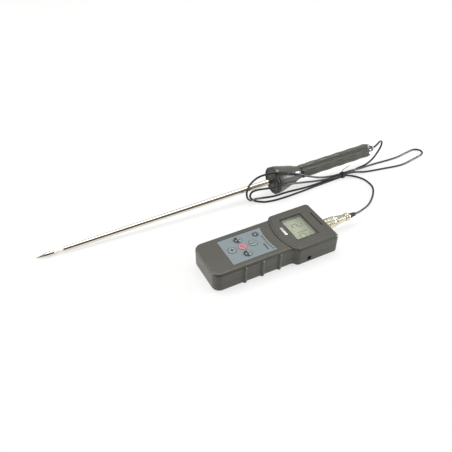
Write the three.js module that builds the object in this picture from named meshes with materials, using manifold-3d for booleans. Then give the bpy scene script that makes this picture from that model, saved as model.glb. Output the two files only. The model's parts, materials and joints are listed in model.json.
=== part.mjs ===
// A grain moisture meter: a hand-held meter with a keypad and a display, a spear probe to push
// into the grain, and the thin coaxial cord between them. Millimetres, +Z up. Everything lies on
// the plane Z = 0, the meter along X on the -Y side, the probe on the +Y side.
import * as THREE from "three";
import { mergeVertices } from "three/addons/utils/BufferGeometryUtils.js";
import Module from "manifold-3d";

const wasm = await Module();
wasm.setup();

// ---- Driving dimensions ----------------------------------------------------------------------
const GAP = 0.3; // clearance between pieces that touch
const ROUND = 16; // sides of a small turned piece
const FINE = 24; // sides of a large turned piece
const CHAMFER = 0.5; // on turned edges
const FAR = 400; // longer than anything, for cutting through

// Case of the meter, in its own frame: X from the foot (0) to the connector end, Z from the table.
const CASE_LENGTH = 165;
const CASE_HEIGHT = 26;
const GRIP_WIDTH = 59.6;
const HEAD_WIDTH = 71;
const FOOT_RADIUS = 10;
const HEAD_RADIUS = 5.5;
const WAIST_START = 99; // where the narrow grip starts to widen into the head
const WAIST_LENGTH = 12;
const EDGE_RADIUS = 3.2; // rounding of the long edges
const WALL = 2.5; // upper shell
const TONGUE = 1; // locating tongue of the lower shell, inside the upper shell's wall
const TONGUE_RISE = 1.6;
const FLOOR = 3.4;
const SEAM_HEIGHT = 11;
const GRIP_RIB_X = [38.4, 61.4, 84.4]; // raised finger ribs on both sides of the grip
const GRIP_RIB_RADIUS = 2.7;
const GRIP_RIB_PROUD = 1.5;
const GRIP_RIB_FOOT = 1.2;
const GRIP_RIB_TOP = 24.2;
const METER_END = [87, -44.4]; // where the middle of the connector end stands, X and Y

// Keypad. The arcs of the label and of the groove across the case share one centre.
const ARC_CENTER_X = 167.6;
const GROOVE_ARC = 71.4;
const GROOVE_WIDTH = 1.2;
const GROOVE_DEPTH = 0.8;
const LABEL_ARC = 84;
const LABEL_START = 27.5;
const LABEL_WIDTH = 43.3;
const LABEL_RECESS = 0.8;
const LABEL_THICKNESS = 0.4;
const KEYPAD_CENTER = [51.4, 0.6];
const KEY_RADIUS = 5.2;
const KEY_STEM_RADIUS = 2.4;
const KEY_PROUD = 0.35;
const KEY_TRAVEL = 0.5;
const KEY_FLANGE = 0.8; // how far the flange reaches out past the cap
const KEY_SPACING = [1.9, 0.6]; // between neighbouring flanges, along X and Y
const KEY_PITCH = KEY_SPACING.map((space) => 2 * (KEY_RADIUS + KEY_FLANGE) + space);
const DOME_RADIUS = 3.2;
const DOME_HEIGHT = 0.6;

// Display
const WINDOW_CENTER = [129.6, 1.2];
const WINDOW_SIZE = [31, 42];
const LENS_MARGIN = 2;
const LENS_THICKNESS = 1;
const PANEL_THICKNESS = 2.4;
const BEZEL_WALL = 0.7;
const ZEBRA_SIZE = [2.5, 36];
const BADGE_CENTER = [108.6, 1.6];
const BADGE_SIZE = [3.6, 15];
const BADGE_THICKNESS = 0.6;
const SLOT_X = 157.2;
const SLOT_Y = [-9.7, 16.7];
const SLOT_WIDTH = 1.3;
const SLOT_DEPTH = 1.4;

// Circuit board, batteries and screws
const BOARD_CLEARANCE = 1.2; // above the batteries
const BOARD_THICKNESS = 1.6;
const BOARD_INSET = 4.4;
const BOARD_X = [5, 147];
const CHIP_SIZE = [14, 14];
const CHIP_HEIGHT = 2;
const CHIP_CENTER = [84, 0];
const POSTS = [
  [64, 0],
  [100, 22],
  [100, -22],
];
const POST_RADIUS = 2;
const CELL_RADIUS = 5.2;
const CELL_LENGTH = 44.5;
const CELL_PITCH = 2 * CELL_RADIUS + 0.8;
const CELL_COUNT = 4;
const CELL_START = 9.5;
const CELL_NUB = [1.9, 0.9]; // radius and length of the positive end
const CONTACT_THICKNESS = 0.5;
const CONTACT_TAB = 0.8;
const RIB = 1.6; // rib behind the contacts
const COVER_LENGTH = 59.5;
const COVER_HALF_WIDTH = 23;
const COVER_TONGUE = 1.4; // how far the cover's edges reach into the floor's grooves
const COVER_RAISE = 0.3; // the cover stays clear of the table
const COVER_LIP = 1; // thickness of the floor's lip under the cover's edges
const COVER_TOP = 2.4;
const COVER_RIDGES = 4;
const SCREWS = [
  [66, 21],
  [66, -21],
  [152, 27],
  [152, -27],
];
const SCREW_RADIUS = 1.25;
const SCREW_HEAD = [2.8, 1.6]; // radius and height
const SCREW_SINK = 0.6; // how deep the head is below the underside
const SCREW_TOP = 20;
const BOSS_RADIUS = 3.6;

// Side socket for an external supply
const SOCKET_X = 122.5;
const SOCKET_Z = 7.1;
const SOCKET_BARREL = 2.7;
const SOCKET_BORE = 1.75;
const SOCKET_DEPTH = 10.5;
const SOCKET_SINK = 0.9;

// Bayonet connector. Lengths run along X from the connector end of the case.
const PORT_Z = 13.5;
const THREAD_RADIUS = 4.6;
const THREAD_BACK = -13;
const FLANGE_RADIUS = 6.4;
const FLANGE_THICKNESS = 1.7;
const BARREL_RADIUS = 4.8;
const BARREL_BORE = 4.1;
const BARREL_END = 12.4;
const LUG_X = 6.6;
const LUG_RADIUS = 1;
const LUG_REACH = 5.9;
const JACK_CORE = 2.6; // bore that holds the jack's insulator
const JACK_CONTACT = 1.1;
const PIN_RADIUS = 0.45;
const NUT_RADIUS = 7.2;
const NUT_THICKNESS = 2.8;
const WASHER_RADIUS = 6.8;
const WASHER_THICKNESS = 0.8;
const COLLAR_RADIUS = 7.3;
const COLLAR_BORE = 6.2;
const COLLAR_FRONT = 2.6;
const COLLAR_LIP = 2.3;
const COLLAR_END = 18;
const PLUG_SLEEVE_RADIUS = 3.7;
const PLUG_BORE = 2.75;
const PLUG_FLANGE = 5.7;
const PLUG_FLANGE_X = 13.9;
const PLUG_FLANGE_THICKNESS = 1.4;
const PLUG_NECK = 4.5;
const PLUG_TAIL = 3.6;
const PLUG_TAIL_END = 34;
const SHROUD_RADII = [6.2, 4.7];
const CLAMP_RADIUS = 5.2;
const CLAMP_LENGTH = 6.3;
const BOOT_RADII = [3.3, 2.3];
const BOOT_LENGTH = 10.4;

// Probe, along its own axis from the point of the tip
const TIP_CONE = 13.4;
const TIP_RADIUS = 3;
const TIP_LENGTH = 22.3;
const INSULATOR_LENGTH = 10.1;
const CORE_RADIUS = 1;
const STUD_RADIUS = 1.7;
const STUD_LENGTH = 9;
const TUBE_FRONT_RADIUS = 3.2;
const TUBE_RADIUS = 4;
const TUBE_BORE = 1.9;
const TUBE_IN_GRIP = 35; // how far the tube reaches into the grip
const GUARD_X = 322; // front face of the guard
const GUARD_RADIUS = 19.2;
const GUARD_PLATE = 4;
const GUARD_LENGTH = 38.2;
const NECK_RADIUS = 9.7;
const NECK_RING = 1.6;
const GRIP_RADIUS = 10.1;
const GRIP_LENGTH = 117.2;
const GRIP_BORE = 6.4;
const GRIP_LOBES = 6;
const LOBE_DEPTH = 0.75;
const LINER_WALL = 1.6;
const GLAND_RADIUS = 4;
const GLAND_LENGTH = 5.3;
const FERRULE_RADIUS = 2.3;
const FERRULE_LENGTH = 2.2;
const PROBE_TIP = [-245.35, 75.2]; // where the point lies, X and Y
const PROBE_YAW = THREE.MathUtils.degToRad(-2.57);

// Cord: its centre line from the plug's boot, through the twist tie, to the end of the probe.
const CORD_RADIUS = 1.4;
const CORD_SIDES = 8;
const TIE_X = 187;
const TIE_Y = 44;
const TIE_Z = 4;
const TIE_LENGTH = 5;
const TIE_STRAND_PITCH = 3.1;
const TIE_WALL = 0.6;
const CORD_ROUTE = [
  [139.3, -44.4, 13.5],
  [148, -42.6, 12.2],
  [157, -38.6, 9.8],
  [167, -33.6, 6.6],
  [177, -27.8, 3.6],
  [187, -20.9, 1.9],
  [197, -12.6, 1.7],
  [204.6, -4.3, 1.7],
  [209, 3, 1.7],
  [210.8, 12, 1.7],
  [209.8, 23.6, 1.7],
  [204, 33.6, 1.8],
  [193, 42, 2.4],
  [184, 42.45, 2.45],
  [165, 42.4, 1.9],
  [140, 41.8, 1.7],
  [110, 40.2, 1.7],
  [76, 40, 1.7],
  [58, 43, 1.7],
  [49.5, 47.9, 1.7],
  [42.8, 52.2, 3.5],
  [39.2, 54.7, 9.3],
  [41.6, 54.7, 15.6],
  [49.4, 52.4, 18.6],
  [66, 44.4, 21.8],
  [76.5, 39.7, 25.2],
  [87, 39.5, 23.6],
  [112, 44, 15],
  [142, 44.4, 8],
  [165, 42.8, 5.8],
  [184, 42.45, 5.55],
  [194, 42.4, 5.5],
  [208, 41, 4.2],
  [224, 37.5, 1.8],
  [252, 32, 1.7],
  [284, 27, 1.7],
  [312, 30.8, 1.7],
  [323, 32.8, 1.7],
  [330.6, 34.8, 1.7],
  [335.8, 39.2, 1.7],
  [336.2, 45.4, 1.7],
  [331.6, 50, 1.7],
  [324, 51, 1.7],
  [313, 49.2, 1.7],
  [288, 46, 1.7],
  [246, 47.8, 1.7],
  [220, 46.6, 3.2],
  [204, 45.7, 5.2],
  [194, 45.55, 5.55],
  [184, 45.55, 5.55],
  [168, 46.3, 6.2],
  [150, 46.6, 10],
  [128, 45.3, 20],
  [105, 46, 31.6],
  [87, 47.6, 38],
  [76, 50.2, 39.4],
  [67, 54.5, 38.2],
  [54, 61.5, 31.5],
  [40.5, 58, 26.8],
  [33.5, 53.6, 21.5],
  [32, 50.3, 13.5],
  [36.5, 48.7, 7.8],
  [46, 50.9, 5.4],
  [57, 52.2, 2.3],
  [74, 49, 1.7],
  [95, 48.4, 1.7],
  [125, 45.6, 1.7],
  [150, 45.4, 1.8],
  [170, 45.5, 2.3],
  [184, 45.55, 2.45],
  [196, 45.7, 2.3],
  [208, 47.6, 1.8],
  [220, 50, 1.8],
  [232, 50.6, 2.7],
  [241, 51.4, 4.9],
  [249, 53, 8],
  [256, 55.2, 12],
  [262.2, 57.2, 17],
  [266.2, 58.4, 23.4],
  [264.9, 57.7, 30.3],
  [259, 55.7, 33.3],
  [252.4, 53.9, 31],
  [246, 53.2, 27.9],
];

// ---- Shape helpers -----------------------------------------------------------------------------
// A closed surface with shared vertices, no empty triangles and its faces pointing out.
function toSolid(geometry) {
  const bare = new THREE.BufferGeometry();
  bare.setAttribute("position", geometry.getAttribute("position"));
  bare.setIndex(geometry.index);
  const merged = mergeVertices(bare);
  const corners = merged.index.array;
  const kept = [];
  for (let i = 0; i < corners.length; i += 3) {
    const [a, b, c] = corners.slice(i, i + 3);
    if (a !== b && b !== c && c !== a) kept.push(a, b, c);
  }
  const build = (triangles) =>
    new wasm.Manifold(
      new wasm.Mesh({
        numProp: 3,
        vertProperties: new Float32Array(merged.attributes.position.array),
        triVerts: new Uint32Array(triangles),
      }),
    );
  const made = build(kept);
  return made.volume() < 0 ? build(kept.reverse()) : made;
}

function toGeometry(solid) {
  const { vertProperties, triVerts } = solid.getMesh();
  return new THREE.BufferGeometry()
    .setAttribute("position", new THREE.BufferAttribute(vertProperties, 3))
    .setIndex(new THREE.BufferAttribute(triVerts, 1));
}

function join(...pieces) {
  return toGeometry(pieces.map(toSolid).reduce((sum, piece) => sum.add(piece)));
}

function cut(base, ...tools) {
  return toGeometry(tools.map(toSolid).reduce((rest, tool) => rest.subtract(tool), toSolid(base)));
}

function overlap(a, b) {
  return toGeometry(toSolid(a).intersect(toSolid(b)));
}

function block(x0, x1, y0, y1, z0, z1) {
  const box = new THREE.BoxGeometry(x1 - x0, y1 - y0, z1 - z0);
  return box.translate((x0 + x1) / 2, (y0 + y1) / 2, (z0 + z1) / 2);
}

// A flat outline raised from z0 to z1, with both of its rims rounded by edge.
function plate(shape, z0, z1, edge = 0, curveSegments = 4) {
  const raised = new THREE.ExtrudeGeometry(shape, {
    depth: z1 - z0 - 2 * edge,
    curveSegments,
    bevelEnabled: edge > 0,
    bevelThickness: edge,
    bevelSize: edge,
    bevelOffset: -edge,
    bevelSegments: 2,
  });
  return raised.translate(0, 0, z0 + edge);
}

// A profile of [radius, height] points turned about +Z.
function turned(profile, sides = ROUND) {
  const points = profile.map(([radius, height]) => new THREE.Vector2(radius, height));
  return new THREE.LatheGeometry(points, sides).rotateX(Math.PI / 2);
}

// The same, turned about +X: the profile's heights run along X.
function turnedX(profile, sides = ROUND) {
  return turned(profile, sides).rotateY(Math.PI / 2);
}

function rod(radius, z0, z1) {
  return [
    [0, z0],
    [radius, z0],
    [radius, z1],
    [0, z1],
  ];
}

function ring(outer, inner, z0, z1) {
  return [
    [inner, z0],
    [outer, z0],
    [outer, z1],
    [inner, z1],
    [inner, z0],
  ];
}

function column(radius, z0, z1, [x, y], sides = ROUND) {
  return turned(rod(radius, z0, z1), sides).translate(x, y, 0);
}

function finish(color, roughness, metalness = 0) {
  return new THREE.MeshStandardMaterial({ color, roughness, metalness });
}

const object = new THREE.Group();
const meter = new THREE.Group();
const probe = new THREE.Group();
object.add(meter, probe);

function piece(group, name, geometry, material) {
  const mesh = new THREE.Mesh(toGeometry(toSolid(geometry)), material);
  mesh.name = name;
  group.add(mesh);
  return mesh;
}

// ---- Case --------------------------------------------------------------------------------------
// The outline of the case seen from above, drawn in from its edge by inset.
function caseShape(inset) {
  const grip = GRIP_WIDTH / 2 - inset;
  const head = HEAD_WIDTH / 2 - inset;
  const end = CASE_LENGTH - inset;
  const foot = Math.max(FOOT_RADIUS - inset, 1);
  const corner = Math.max(HEAD_RADIUS - inset, 1);
  const narrow = WAIST_START + inset / 2;
  const wide = narrow + WAIST_LENGTH;
  const pull = WAIST_LENGTH * 0.55;
  const shape = new THREE.Shape();
  shape.moveTo(inset + foot, -grip);
  shape.lineTo(narrow, -grip);
  shape.bezierCurveTo(narrow + pull, -grip, wide - pull, -head, wide, -head);
  shape.lineTo(end - corner, -head);
  shape.absarc(end - corner, -head + corner, corner, -Math.PI / 2, 0, false);
  shape.absarc(end - corner, head - corner, corner, 0, Math.PI / 2, false);
  shape.lineTo(wide, head);
  shape.bezierCurveTo(wide - pull, head, narrow + pull, grip, narrow, grip);
  shape.lineTo(inset + foot, grip);
  shape.absarc(inset + foot, grip - foot, foot, Math.PI / 2, Math.PI, false);
  shape.absarc(inset + foot, -grip + foot, foot, Math.PI, 1.5 * Math.PI, false);
  return shape;
}

// The round-topped finger ribs down both sides of the grip.
function gripRibs() {
  const offset = GRIP_WIDTH / 2 + GRIP_RIB_PROUD - GRIP_RIB_RADIUS;
  const profile = [
    [0, GRIP_RIB_FOOT],
    [GRIP_RIB_RADIUS - CHAMFER, GRIP_RIB_FOOT],
    [GRIP_RIB_RADIUS, GRIP_RIB_FOOT + CHAMFER],
    [GRIP_RIB_RADIUS, GRIP_RIB_TOP - GRIP_RIB_RADIUS],
    [GRIP_RIB_RADIUS * 0.7, GRIP_RIB_TOP - GRIP_RIB_RADIUS * 0.3],
    [0, GRIP_RIB_TOP],
  ];
  return GRIP_RIB_X.flatMap((x) =>
    [-offset, offset].map((y) => turned(profile, ROUND).translate(x, y, 0)),
  );
}

function caseBlank() {
  return join(plate(caseShape(0), 0, CASE_HEIGHT, EDGE_RADIUS), ...gripRibs());
}

function portHole() {
  const hole = turnedX(rod(THREAD_RADIUS + GAP, CASE_LENGTH - 8, CASE_LENGTH + 1));
  return hole.translate(0, 0, PORT_Z);
}

function labelShape(inset) {
  const half = LABEL_WIDTH / 2 - inset;
  const radius = LABEL_ARC + inset;
  const angle = Math.asin(half / radius);
  const shape = new THREE.Shape();
  shape.moveTo(LABEL_START + inset, half);
  shape.lineTo(LABEL_START + inset, -half);
  shape.absarc(ARC_CENTER_X, 0, radius, Math.PI + angle, Math.PI - angle, true);
  return shape;
}

// The curved groove across the top, between the grip and the head.
function headGroove() {
  const inner = GROOVE_ARC - GROOVE_WIDTH / 2;
  const outer = GROOVE_ARC + GROOVE_WIDTH / 2;
  const angle = Math.asin(HEAD_WIDTH / 2 / inner);
  const shape = new THREE.Shape();
  shape.absarc(ARC_CENTER_X, 0, outer, Math.PI - angle, Math.PI + angle, false);
  shape.absarc(ARC_CENTER_X, 0, inner, Math.PI + angle, Math.PI - angle, true);
  return plate(shape, CASE_HEIGHT - GROOVE_DEPTH, CASE_HEIGHT + 1, 0, 10);
}

function centered([x, y], [sizeX, sizeY], z0, z1, margin = 0) {
  const halfX = sizeX / 2 + margin;
  const halfY = sizeY / 2 + margin;
  return block(x - halfX, x + halfX, y - halfY, y + halfY, z0, z1);
}

const ceiling = CASE_HEIGHT - WALL;
const cellZ = FLOOR + 2 * GAP + CELL_RADIUS;
const boardBottom = cellZ + CELL_RADIUS + BOARD_CLEARANCE;
const seamTop = SEAM_HEIGHT + GAP / 2;
const seamBottom = SEAM_HEIGHT - GAP / 2;
const lowerWall = WALL + GAP + TONGUE;
const keyPlaces = {
  power_key: [0, 0],
  menu_key: [-1, 0],
  light_key: [1, 0],
  up_key: [0, 1],
  down_key: [0, -1],
};

function keyPlace(name) {
  const [i, j] = keyPlaces[name];
  return [KEYPAD_CENTER[0] + i * KEY_PITCH[0], KEYPAD_CENTER[1] + j * KEY_PITCH[1]];
}

const keyNames = Object.keys(keyPlaces);
const shellPaint = finish(0x5b594e, 0.45);

function upperShell() {
  const outside = overlap(caseBlank(), block(-FAR, FAR, -FAR, FAR, seamTop, FAR));
  const inside = plate(caseShape(WALL), SEAM_HEIGHT - 2, ceiling);
  const bosses = SCREWS.map((place) => column(BOSS_RADIUS, seamTop, ceiling + 1, place, 16));
  const bores = SCREWS.map((place) => column(SCREW_RADIUS + GAP, 0, SCREW_TOP + 1, place, 12));
  const keyHoles = keyNames.map((name) => column(KEY_RADIUS + GAP, ceiling - 1, FAR, keyPlace(name)));
  const recess = plate(labelShape(0), CASE_HEIGHT - LABEL_RECESS, CASE_HEIGHT + 1);
  const window = centered(WINDOW_CENTER, WINDOW_SIZE, ceiling - 1, CASE_HEIGHT + 1);
  const badge = centered(BADGE_CENTER, BADGE_SIZE, CASE_HEIGHT - BADGE_THICKNESS, FAR, GAP);
  const slotZ = CASE_HEIGHT - SLOT_DEPTH;
  const slot = block(SLOT_X - SLOT_WIDTH / 2, SLOT_X + SLOT_WIDTH / 2, ...SLOT_Y, slotZ, FAR);
  const hollow = join(cut(outside, inside), ...bosses);
  const top = [recess, headGroove(), badge, slot, window, ...keyHoles];
  return cut(hollow, ...bores, ...top, portHole());
}
piece(meter, "upper_shell", upperShell(), shellPaint);

const cellRowHalf = (CELL_COUNT * CELL_PITCH) / 2;
const rearRibX = CELL_START - 2 * GAP - CONTACT_TAB - CONTACT_THICKNESS - RIB;
const frontContactX = CELL_START + CELL_LENGTH + GAP;
const frontRibX = frontContactX + CONTACT_TAB + CONTACT_THICKNESS + GAP;

// The floor's slideway for the battery cover, open at the foot of the case.
function coverSlideway() {
  const half = COVER_HALF_WIDTH + GAP;
  const end = COVER_LENGTH + GAP;
  const mouth = block(-FAR, end, -half, half, -1, COVER_LIP);
  const side = half + COVER_TONGUE;
  const groove = block(-FAR, end, -side, side, COVER_LIP, COVER_TOP + GAP);
  const room = block(rearRibX + RIB + GAP, frontRibX - GAP, -cellRowHalf, cellRowHalf, 0, FLOOR + 1);
  return [mouth, groove, room];
}

function socketHole() {
  const bore = turned(rod(SOCKET_BARREL + GAP, 0, HEAD_WIDTH / 2 + 1)).rotateX(Math.PI / 2);
  return bore.translate(SOCKET_X, 0, SOCKET_Z);
}

function lowerShell() {
  const below = block(-FAR, FAR, -FAR, FAR, -FAR, seamBottom);
  const outside = overlap(caseBlank(), below);
  const tongue = plate(caseShape(WALL + GAP), SEAM_HEIGHT - 2, SEAM_HEIGHT + TONGUE_RISE);
  const inside = plate(caseShape(lowerWall), FLOOR, SEAM_HEIGHT + TONGUE_RISE + 1);
  const ribs = [rearRibX, frontRibX].map((x) =>
    block(x, x + RIB, -cellRowHalf, cellRowHalf, FLOOR - 0.5, cellZ + 3),
  );
  const bosses = SCREWS.map((place) => column(BOSS_RADIUS, 1, seamBottom, place, 16));
  const posts = POSTS.map((place) => column(POST_RADIUS, FLOOR - 1, boardBottom - GAP, place, 12));
  const tray = join(cut(join(outside, tongue), inside), ...ribs, ...bosses, ...posts);
  const bores = SCREWS.map((place) => column(SCREW_RADIUS + GAP, -1, FAR, place, 12));
  const sinkTop = SCREW_SINK + SCREW_HEAD[1] + GAP;
  const sinks = SCREWS.map((place) => column(SCREW_HEAD[0] + GAP, -1, sinkTop, place, 16));
  const socketRoom = block(SOCKET_X - 8, SOCKET_X + 8, -HEAD_WIDTH / 2 + lowerWall, -20, FLOOR, FAR);
  const openings = [portHole(), cut(socketHole(), socketRoom), ...coverSlideway()];
  return cut(tray, ...bores, ...sinks, ...openings);
}
piece(meter, "lower_shell", lowerShell(), shellPaint);

function batteryCover() {
  const half = COVER_HALF_WIDTH;
  const mouth = block(-1, COVER_LENGTH, -half, half, COVER_RAISE, COVER_TOP);
  const side = half + COVER_TONGUE;
  const edges = block(-1, COVER_LENGTH, -side, side, COVER_LIP + GAP, COVER_TOP);
  const ridges = Array.from({ length: COVER_RIDGES }, (_, i) => {
    const x = COVER_LENGTH - 12 + 2.4 * i;
    return block(x, x + 1.2, -9, 9, 0, COVER_RAISE + 0.5);
  });
  return cut(overlap(caseBlank(), join(mouth, edges)), ...ridges);
}
piece(meter, "battery_cover", batteryCover(), shellPaint);

function caseScrew(place) {
  const headTop = SCREW_SINK + SCREW_HEAD[1];
  const profile = [
    [0, SCREW_SINK],
    [SCREW_HEAD[0], SCREW_SINK],
    [SCREW_HEAD[0], headTop],
    [SCREW_RADIUS, headTop],
    [SCREW_RADIUS, SCREW_TOP],
    [0, SCREW_TOP],
  ];
  const slot = centered(place, [3.6, 0.8], 0, SCREW_SINK + 0.7);
  const across = centered(place, [0.8, 3.6], 0, SCREW_SINK + 0.7);
  return cut(turned(profile, 12).translate(...place, 0), slot, across);
}
SCREWS.forEach((place, i) => {
  piece(meter, `case_screw_${i + 1}`, caseScrew(place), finish(0x8f9195, 0.35, 1));
});

// ---- Batteries and their contacts ---------------------------------------------------------------
function cellY(i) {
  return (i - (CELL_COUNT - 1) / 2) * CELL_PITCH;
}

// Neighbouring cells face opposite ways.
function batteryCell(i) {
  const shoulder = CELL_LENGTH - CELL_NUB[1];
  const profile = [
    [0, 0],
    [CELL_RADIUS, 0],
    [CELL_RADIUS, shoulder],
    [CELL_NUB[0], shoulder],
    [CELL_NUB[0], CELL_LENGTH],
    [0, CELL_LENGTH],
  ];
  const cell = turnedX(profile);
  if (i % 2) cell.rotateZ(Math.PI).translate(CELL_LENGTH, 0, 0);
  return cell.translate(CELL_START, cellY(i), cellZ);
}
for (let i = 0; i < CELL_COUNT; i += 1) {
  piece(meter, `battery_${i + 1}`, batteryCell(i), finish(0x2d5a46, 0.4, 0.3));
}

// A contact strip across the cells first..last, with a tab pressed out towards each cell.
function contactStrip(first, last, plateX, tabX) {
  const y0 = cellY(first) - CELL_RADIUS + 1;
  const y1 = cellY(last) + CELL_RADIUS - 1;
  const strip = block(plateX, plateX + CONTACT_THICKNESS, y0, y1, cellZ - 4, cellZ + 4);
  const tabs = [];
  for (let i = first; i <= last; i += 1) {
    const [x0, x1] = [tabX, tabX + CONTACT_TAB];
    tabs.push(block(x0, x1, cellY(i) - 1.5, cellY(i) + 1.5, cellZ - 1.5, cellZ + 1.5));
  }
  return join(strip, ...tabs);
}
const springSteel = finish(0xb9b6aa, 0.35, 1);
const rearPlateX = rearRibX + RIB + GAP;
const frontPlateX = frontContactX + CONTACT_TAB;
const rearTabX = rearPlateX + CONTACT_THICKNESS;
[
  ["contact_bridge_1", 0, 1, rearPlateX, rearTabX],
  ["contact_bridge_2", 2, 3, rearPlateX, rearTabX],
  ["contact_bridge_3", 1, 2, frontPlateX, frontContactX],
  ["contact_negative", 0, 0, frontPlateX, frontContactX],
  ["contact_positive", 3, 3, frontPlateX, frontContactX],
].forEach(([name, first, last, plateX, tabX]) => {
  piece(meter, name, contactStrip(first, last, plateX, tabX), springSteel);
});

// ---- Circuit board -------------------------------------------------------------------------------
const boardTop = boardBottom + BOARD_THICKNESS;

function circuitBoard() {
  const outline = plate(caseShape(BOARD_INSET), boardBottom, boardTop);
  const length = block(...BOARD_X, -FAR, FAR, boardBottom - 1, boardTop + 1);
  const holes = SCREWS.map((place) => column(BOSS_RADIUS + GAP, boardBottom - 1, boardTop + 1, place, 16));
  const chip = centered(CHIP_CENTER, CHIP_SIZE, boardBottom + 0.5, boardTop + CHIP_HEIGHT);
  return join(cut(overlap(outline, length), ...holes), chip);
}
piece(meter, "circuit_board", circuitBoard(), finish(0x1f6b3a, 0.5));

const domeTop = boardTop + GAP + DOME_HEIGHT;
keyNames.forEach((name) => {
  const profile = [
    [0, boardTop + GAP],
    [DOME_RADIUS, boardTop + GAP],
    [DOME_RADIUS * 0.6, domeTop - 0.1],
    [0, domeTop],
  ];
  const dome = turned(profile, 12).translate(...keyPlace(name), 0);
  piece(meter, name.replace("key", "switch_dome"), dome, springSteel);
});

// ---- Keypad ---------------------------------------------------------------------------------------
const labelFloor = CASE_HEIGHT - LABEL_RECESS + GAP;

function keypadLabel() {
  const sheet = plate(labelShape(GAP), labelFloor, labelFloor + LABEL_THICKNESS);
  return cut(sheet, ...keyNames.map((name) => column(KEY_RADIUS + GAP, 0, FAR, keyPlace(name))));
}
piece(meter, "keypad_label", keypadLabel(), finish(0x8f989d, 0.45));

// The key's cap stands through the label, and a flange under the case's top keeps it in.
function keyCap(name) {
  const top = CASE_HEIGHT + KEY_PROUD;
  const flangeTop = ceiling - GAP;
  const flangeBottom = flangeTop - 0.9;
  const profile = [
    [0, domeTop + KEY_TRAVEL + GAP],
    [KEY_STEM_RADIUS, domeTop + KEY_TRAVEL + GAP],
    [KEY_STEM_RADIUS, flangeBottom],
    [KEY_RADIUS + KEY_FLANGE, flangeBottom],
    [KEY_RADIUS + KEY_FLANGE, flangeTop],
    [KEY_RADIUS, flangeTop],
    [KEY_RADIUS, top - 0.3],
    [KEY_RADIUS - 0.4, top],
    [0, top],
  ];
  return turned(profile, ROUND).translate(...keyPlace(name), 0);
}
keyNames.forEach((name) => {
  const color = name === "power_key" ? 0xc96a7c : 0x98a0a4;
  piece(meter, name, keyCap(name), finish(color, 0.45));
});

// ---- Display -----------------------------------------------------------------------------------
const lensTop = ceiling - GAP;
const lensBottom = lensTop - LENS_THICKNESS;
const panelTop = lensBottom - GAP;
const panelBottom = panelTop - PANEL_THICKNESS;
const lensSize = WINDOW_SIZE.map((size) => size + 2 * LENS_MARGIN);
const panelSize = lensSize.map((size) => size - 2 * (BEZEL_WALL + GAP));

const lens = centered(WINDOW_CENTER, lensSize, lensBottom, lensTop);
piece(meter, "display_lens", lens, finish(0xdfe5dc, 0.1));

const glass = centered(WINDOW_CENTER, panelSize, panelBottom, panelTop);
piece(meter, "display_panel", glass, finish(0x9aa58c, 0.35));

const bezelHole = centered(WINDOW_CENTER, panelSize, 0, FAR, GAP);
const bezelBlock = centered(WINDOW_CENTER, lensSize, boardTop + GAP, panelTop);
piece(meter, "display_bezel", cut(bezelBlock, bezelHole), finish(0x9a9a98, 0.4, 1));

const zebraX = WINDOW_CENTER[0] - panelSize[0] / 2 + ZEBRA_SIZE[0];
const zebra = centered([zebraX, WINDOW_CENTER[1]], ZEBRA_SIZE, boardTop + GAP, panelBottom - GAP);
piece(meter, "zebra_strip", zebra, finish(0xb7a9b0, 0.7));

const badgeZ = CASE_HEIGHT - BADGE_THICKNESS + GAP;
const badge = centered(BADGE_CENTER, BADGE_SIZE, badgeZ, badgeZ + BADGE_THICKNESS);
piece(meter, "badge_plate", badge, finish(0xc9cbc8, 0.3, 0.6));

// ---- Side socket ---------------------------------------------------------------------------------
function sideSocket() {
  const wallY = -HEAD_WIDTH / 2 + lowerWall + GAP;
  const body = block(SOCKET_X - 4.5, SOCKET_X + 4.5, wallY, wallY + SOCKET_DEPTH, FLOOR + GAP, 10.6);
  const outerY = HEAD_WIDTH / 2 - SOCKET_SINK;
  const along = (profile) => turned(profile).rotateX(Math.PI / 2).translate(SOCKET_X, 0, SOCKET_Z);
  const barrel = along(rod(SOCKET_BARREL, -wallY - 0.5, outerY));
  const bore = along(rod(SOCKET_BORE, -wallY - SOCKET_DEPTH + 1.5, outerY + 1));
  return cut(join(body, barrel), bore);
}
piece(meter, "power_socket", sideSocket(), finish(0x242424, 0.5));

// ---- Bayonet jack and plug ---------------------------------------------------------------------
const port = new THREE.Group();
port.position.set(CASE_LENGTH, 0, PORT_Z);
meter.add(port);
const nickel = finish(0xcfc7ae, 0.22, 1);
const teflon = finish(0xf2f0ea, 0.55);
const flangeFront = GAP + FLANGE_THICKNESS;
const socketFloor = flangeFront + 2;

function jackBody() {
  const profile = [
    [JACK_CORE, THREAD_BACK],
    [THREAD_RADIUS, THREAD_BACK],
    [THREAD_RADIUS, GAP],
    [FLANGE_RADIUS, GAP],
    [FLANGE_RADIUS, flangeFront],
    [BARREL_RADIUS, flangeFront],
    [BARREL_RADIUS, BARREL_END],
    [BARREL_BORE, BARREL_END],
    [BARREL_BORE, socketFloor],
    [JACK_CORE, socketFloor],
    [JACK_CORE, THREAD_BACK],
  ];
  const lugs = [0, Math.PI].map((turn) => {
    const lug = column(LUG_RADIUS, (BARREL_BORE + BARREL_RADIUS) / 2, LUG_REACH, [LUG_X, 0], 12);
    return lug.rotateX(turn);
  });
  return join(turnedX(profile), ...lugs);
}
piece(port, "jack_body", jackBody(), nickel);

const jackInsulator = turnedX(ring(JACK_CORE - GAP, JACK_CONTACT + GAP, THREAD_BACK + 0.5, BARREL_END - 1.4));
piece(port, "jack_insulator", jackInsulator, teflon);

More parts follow.
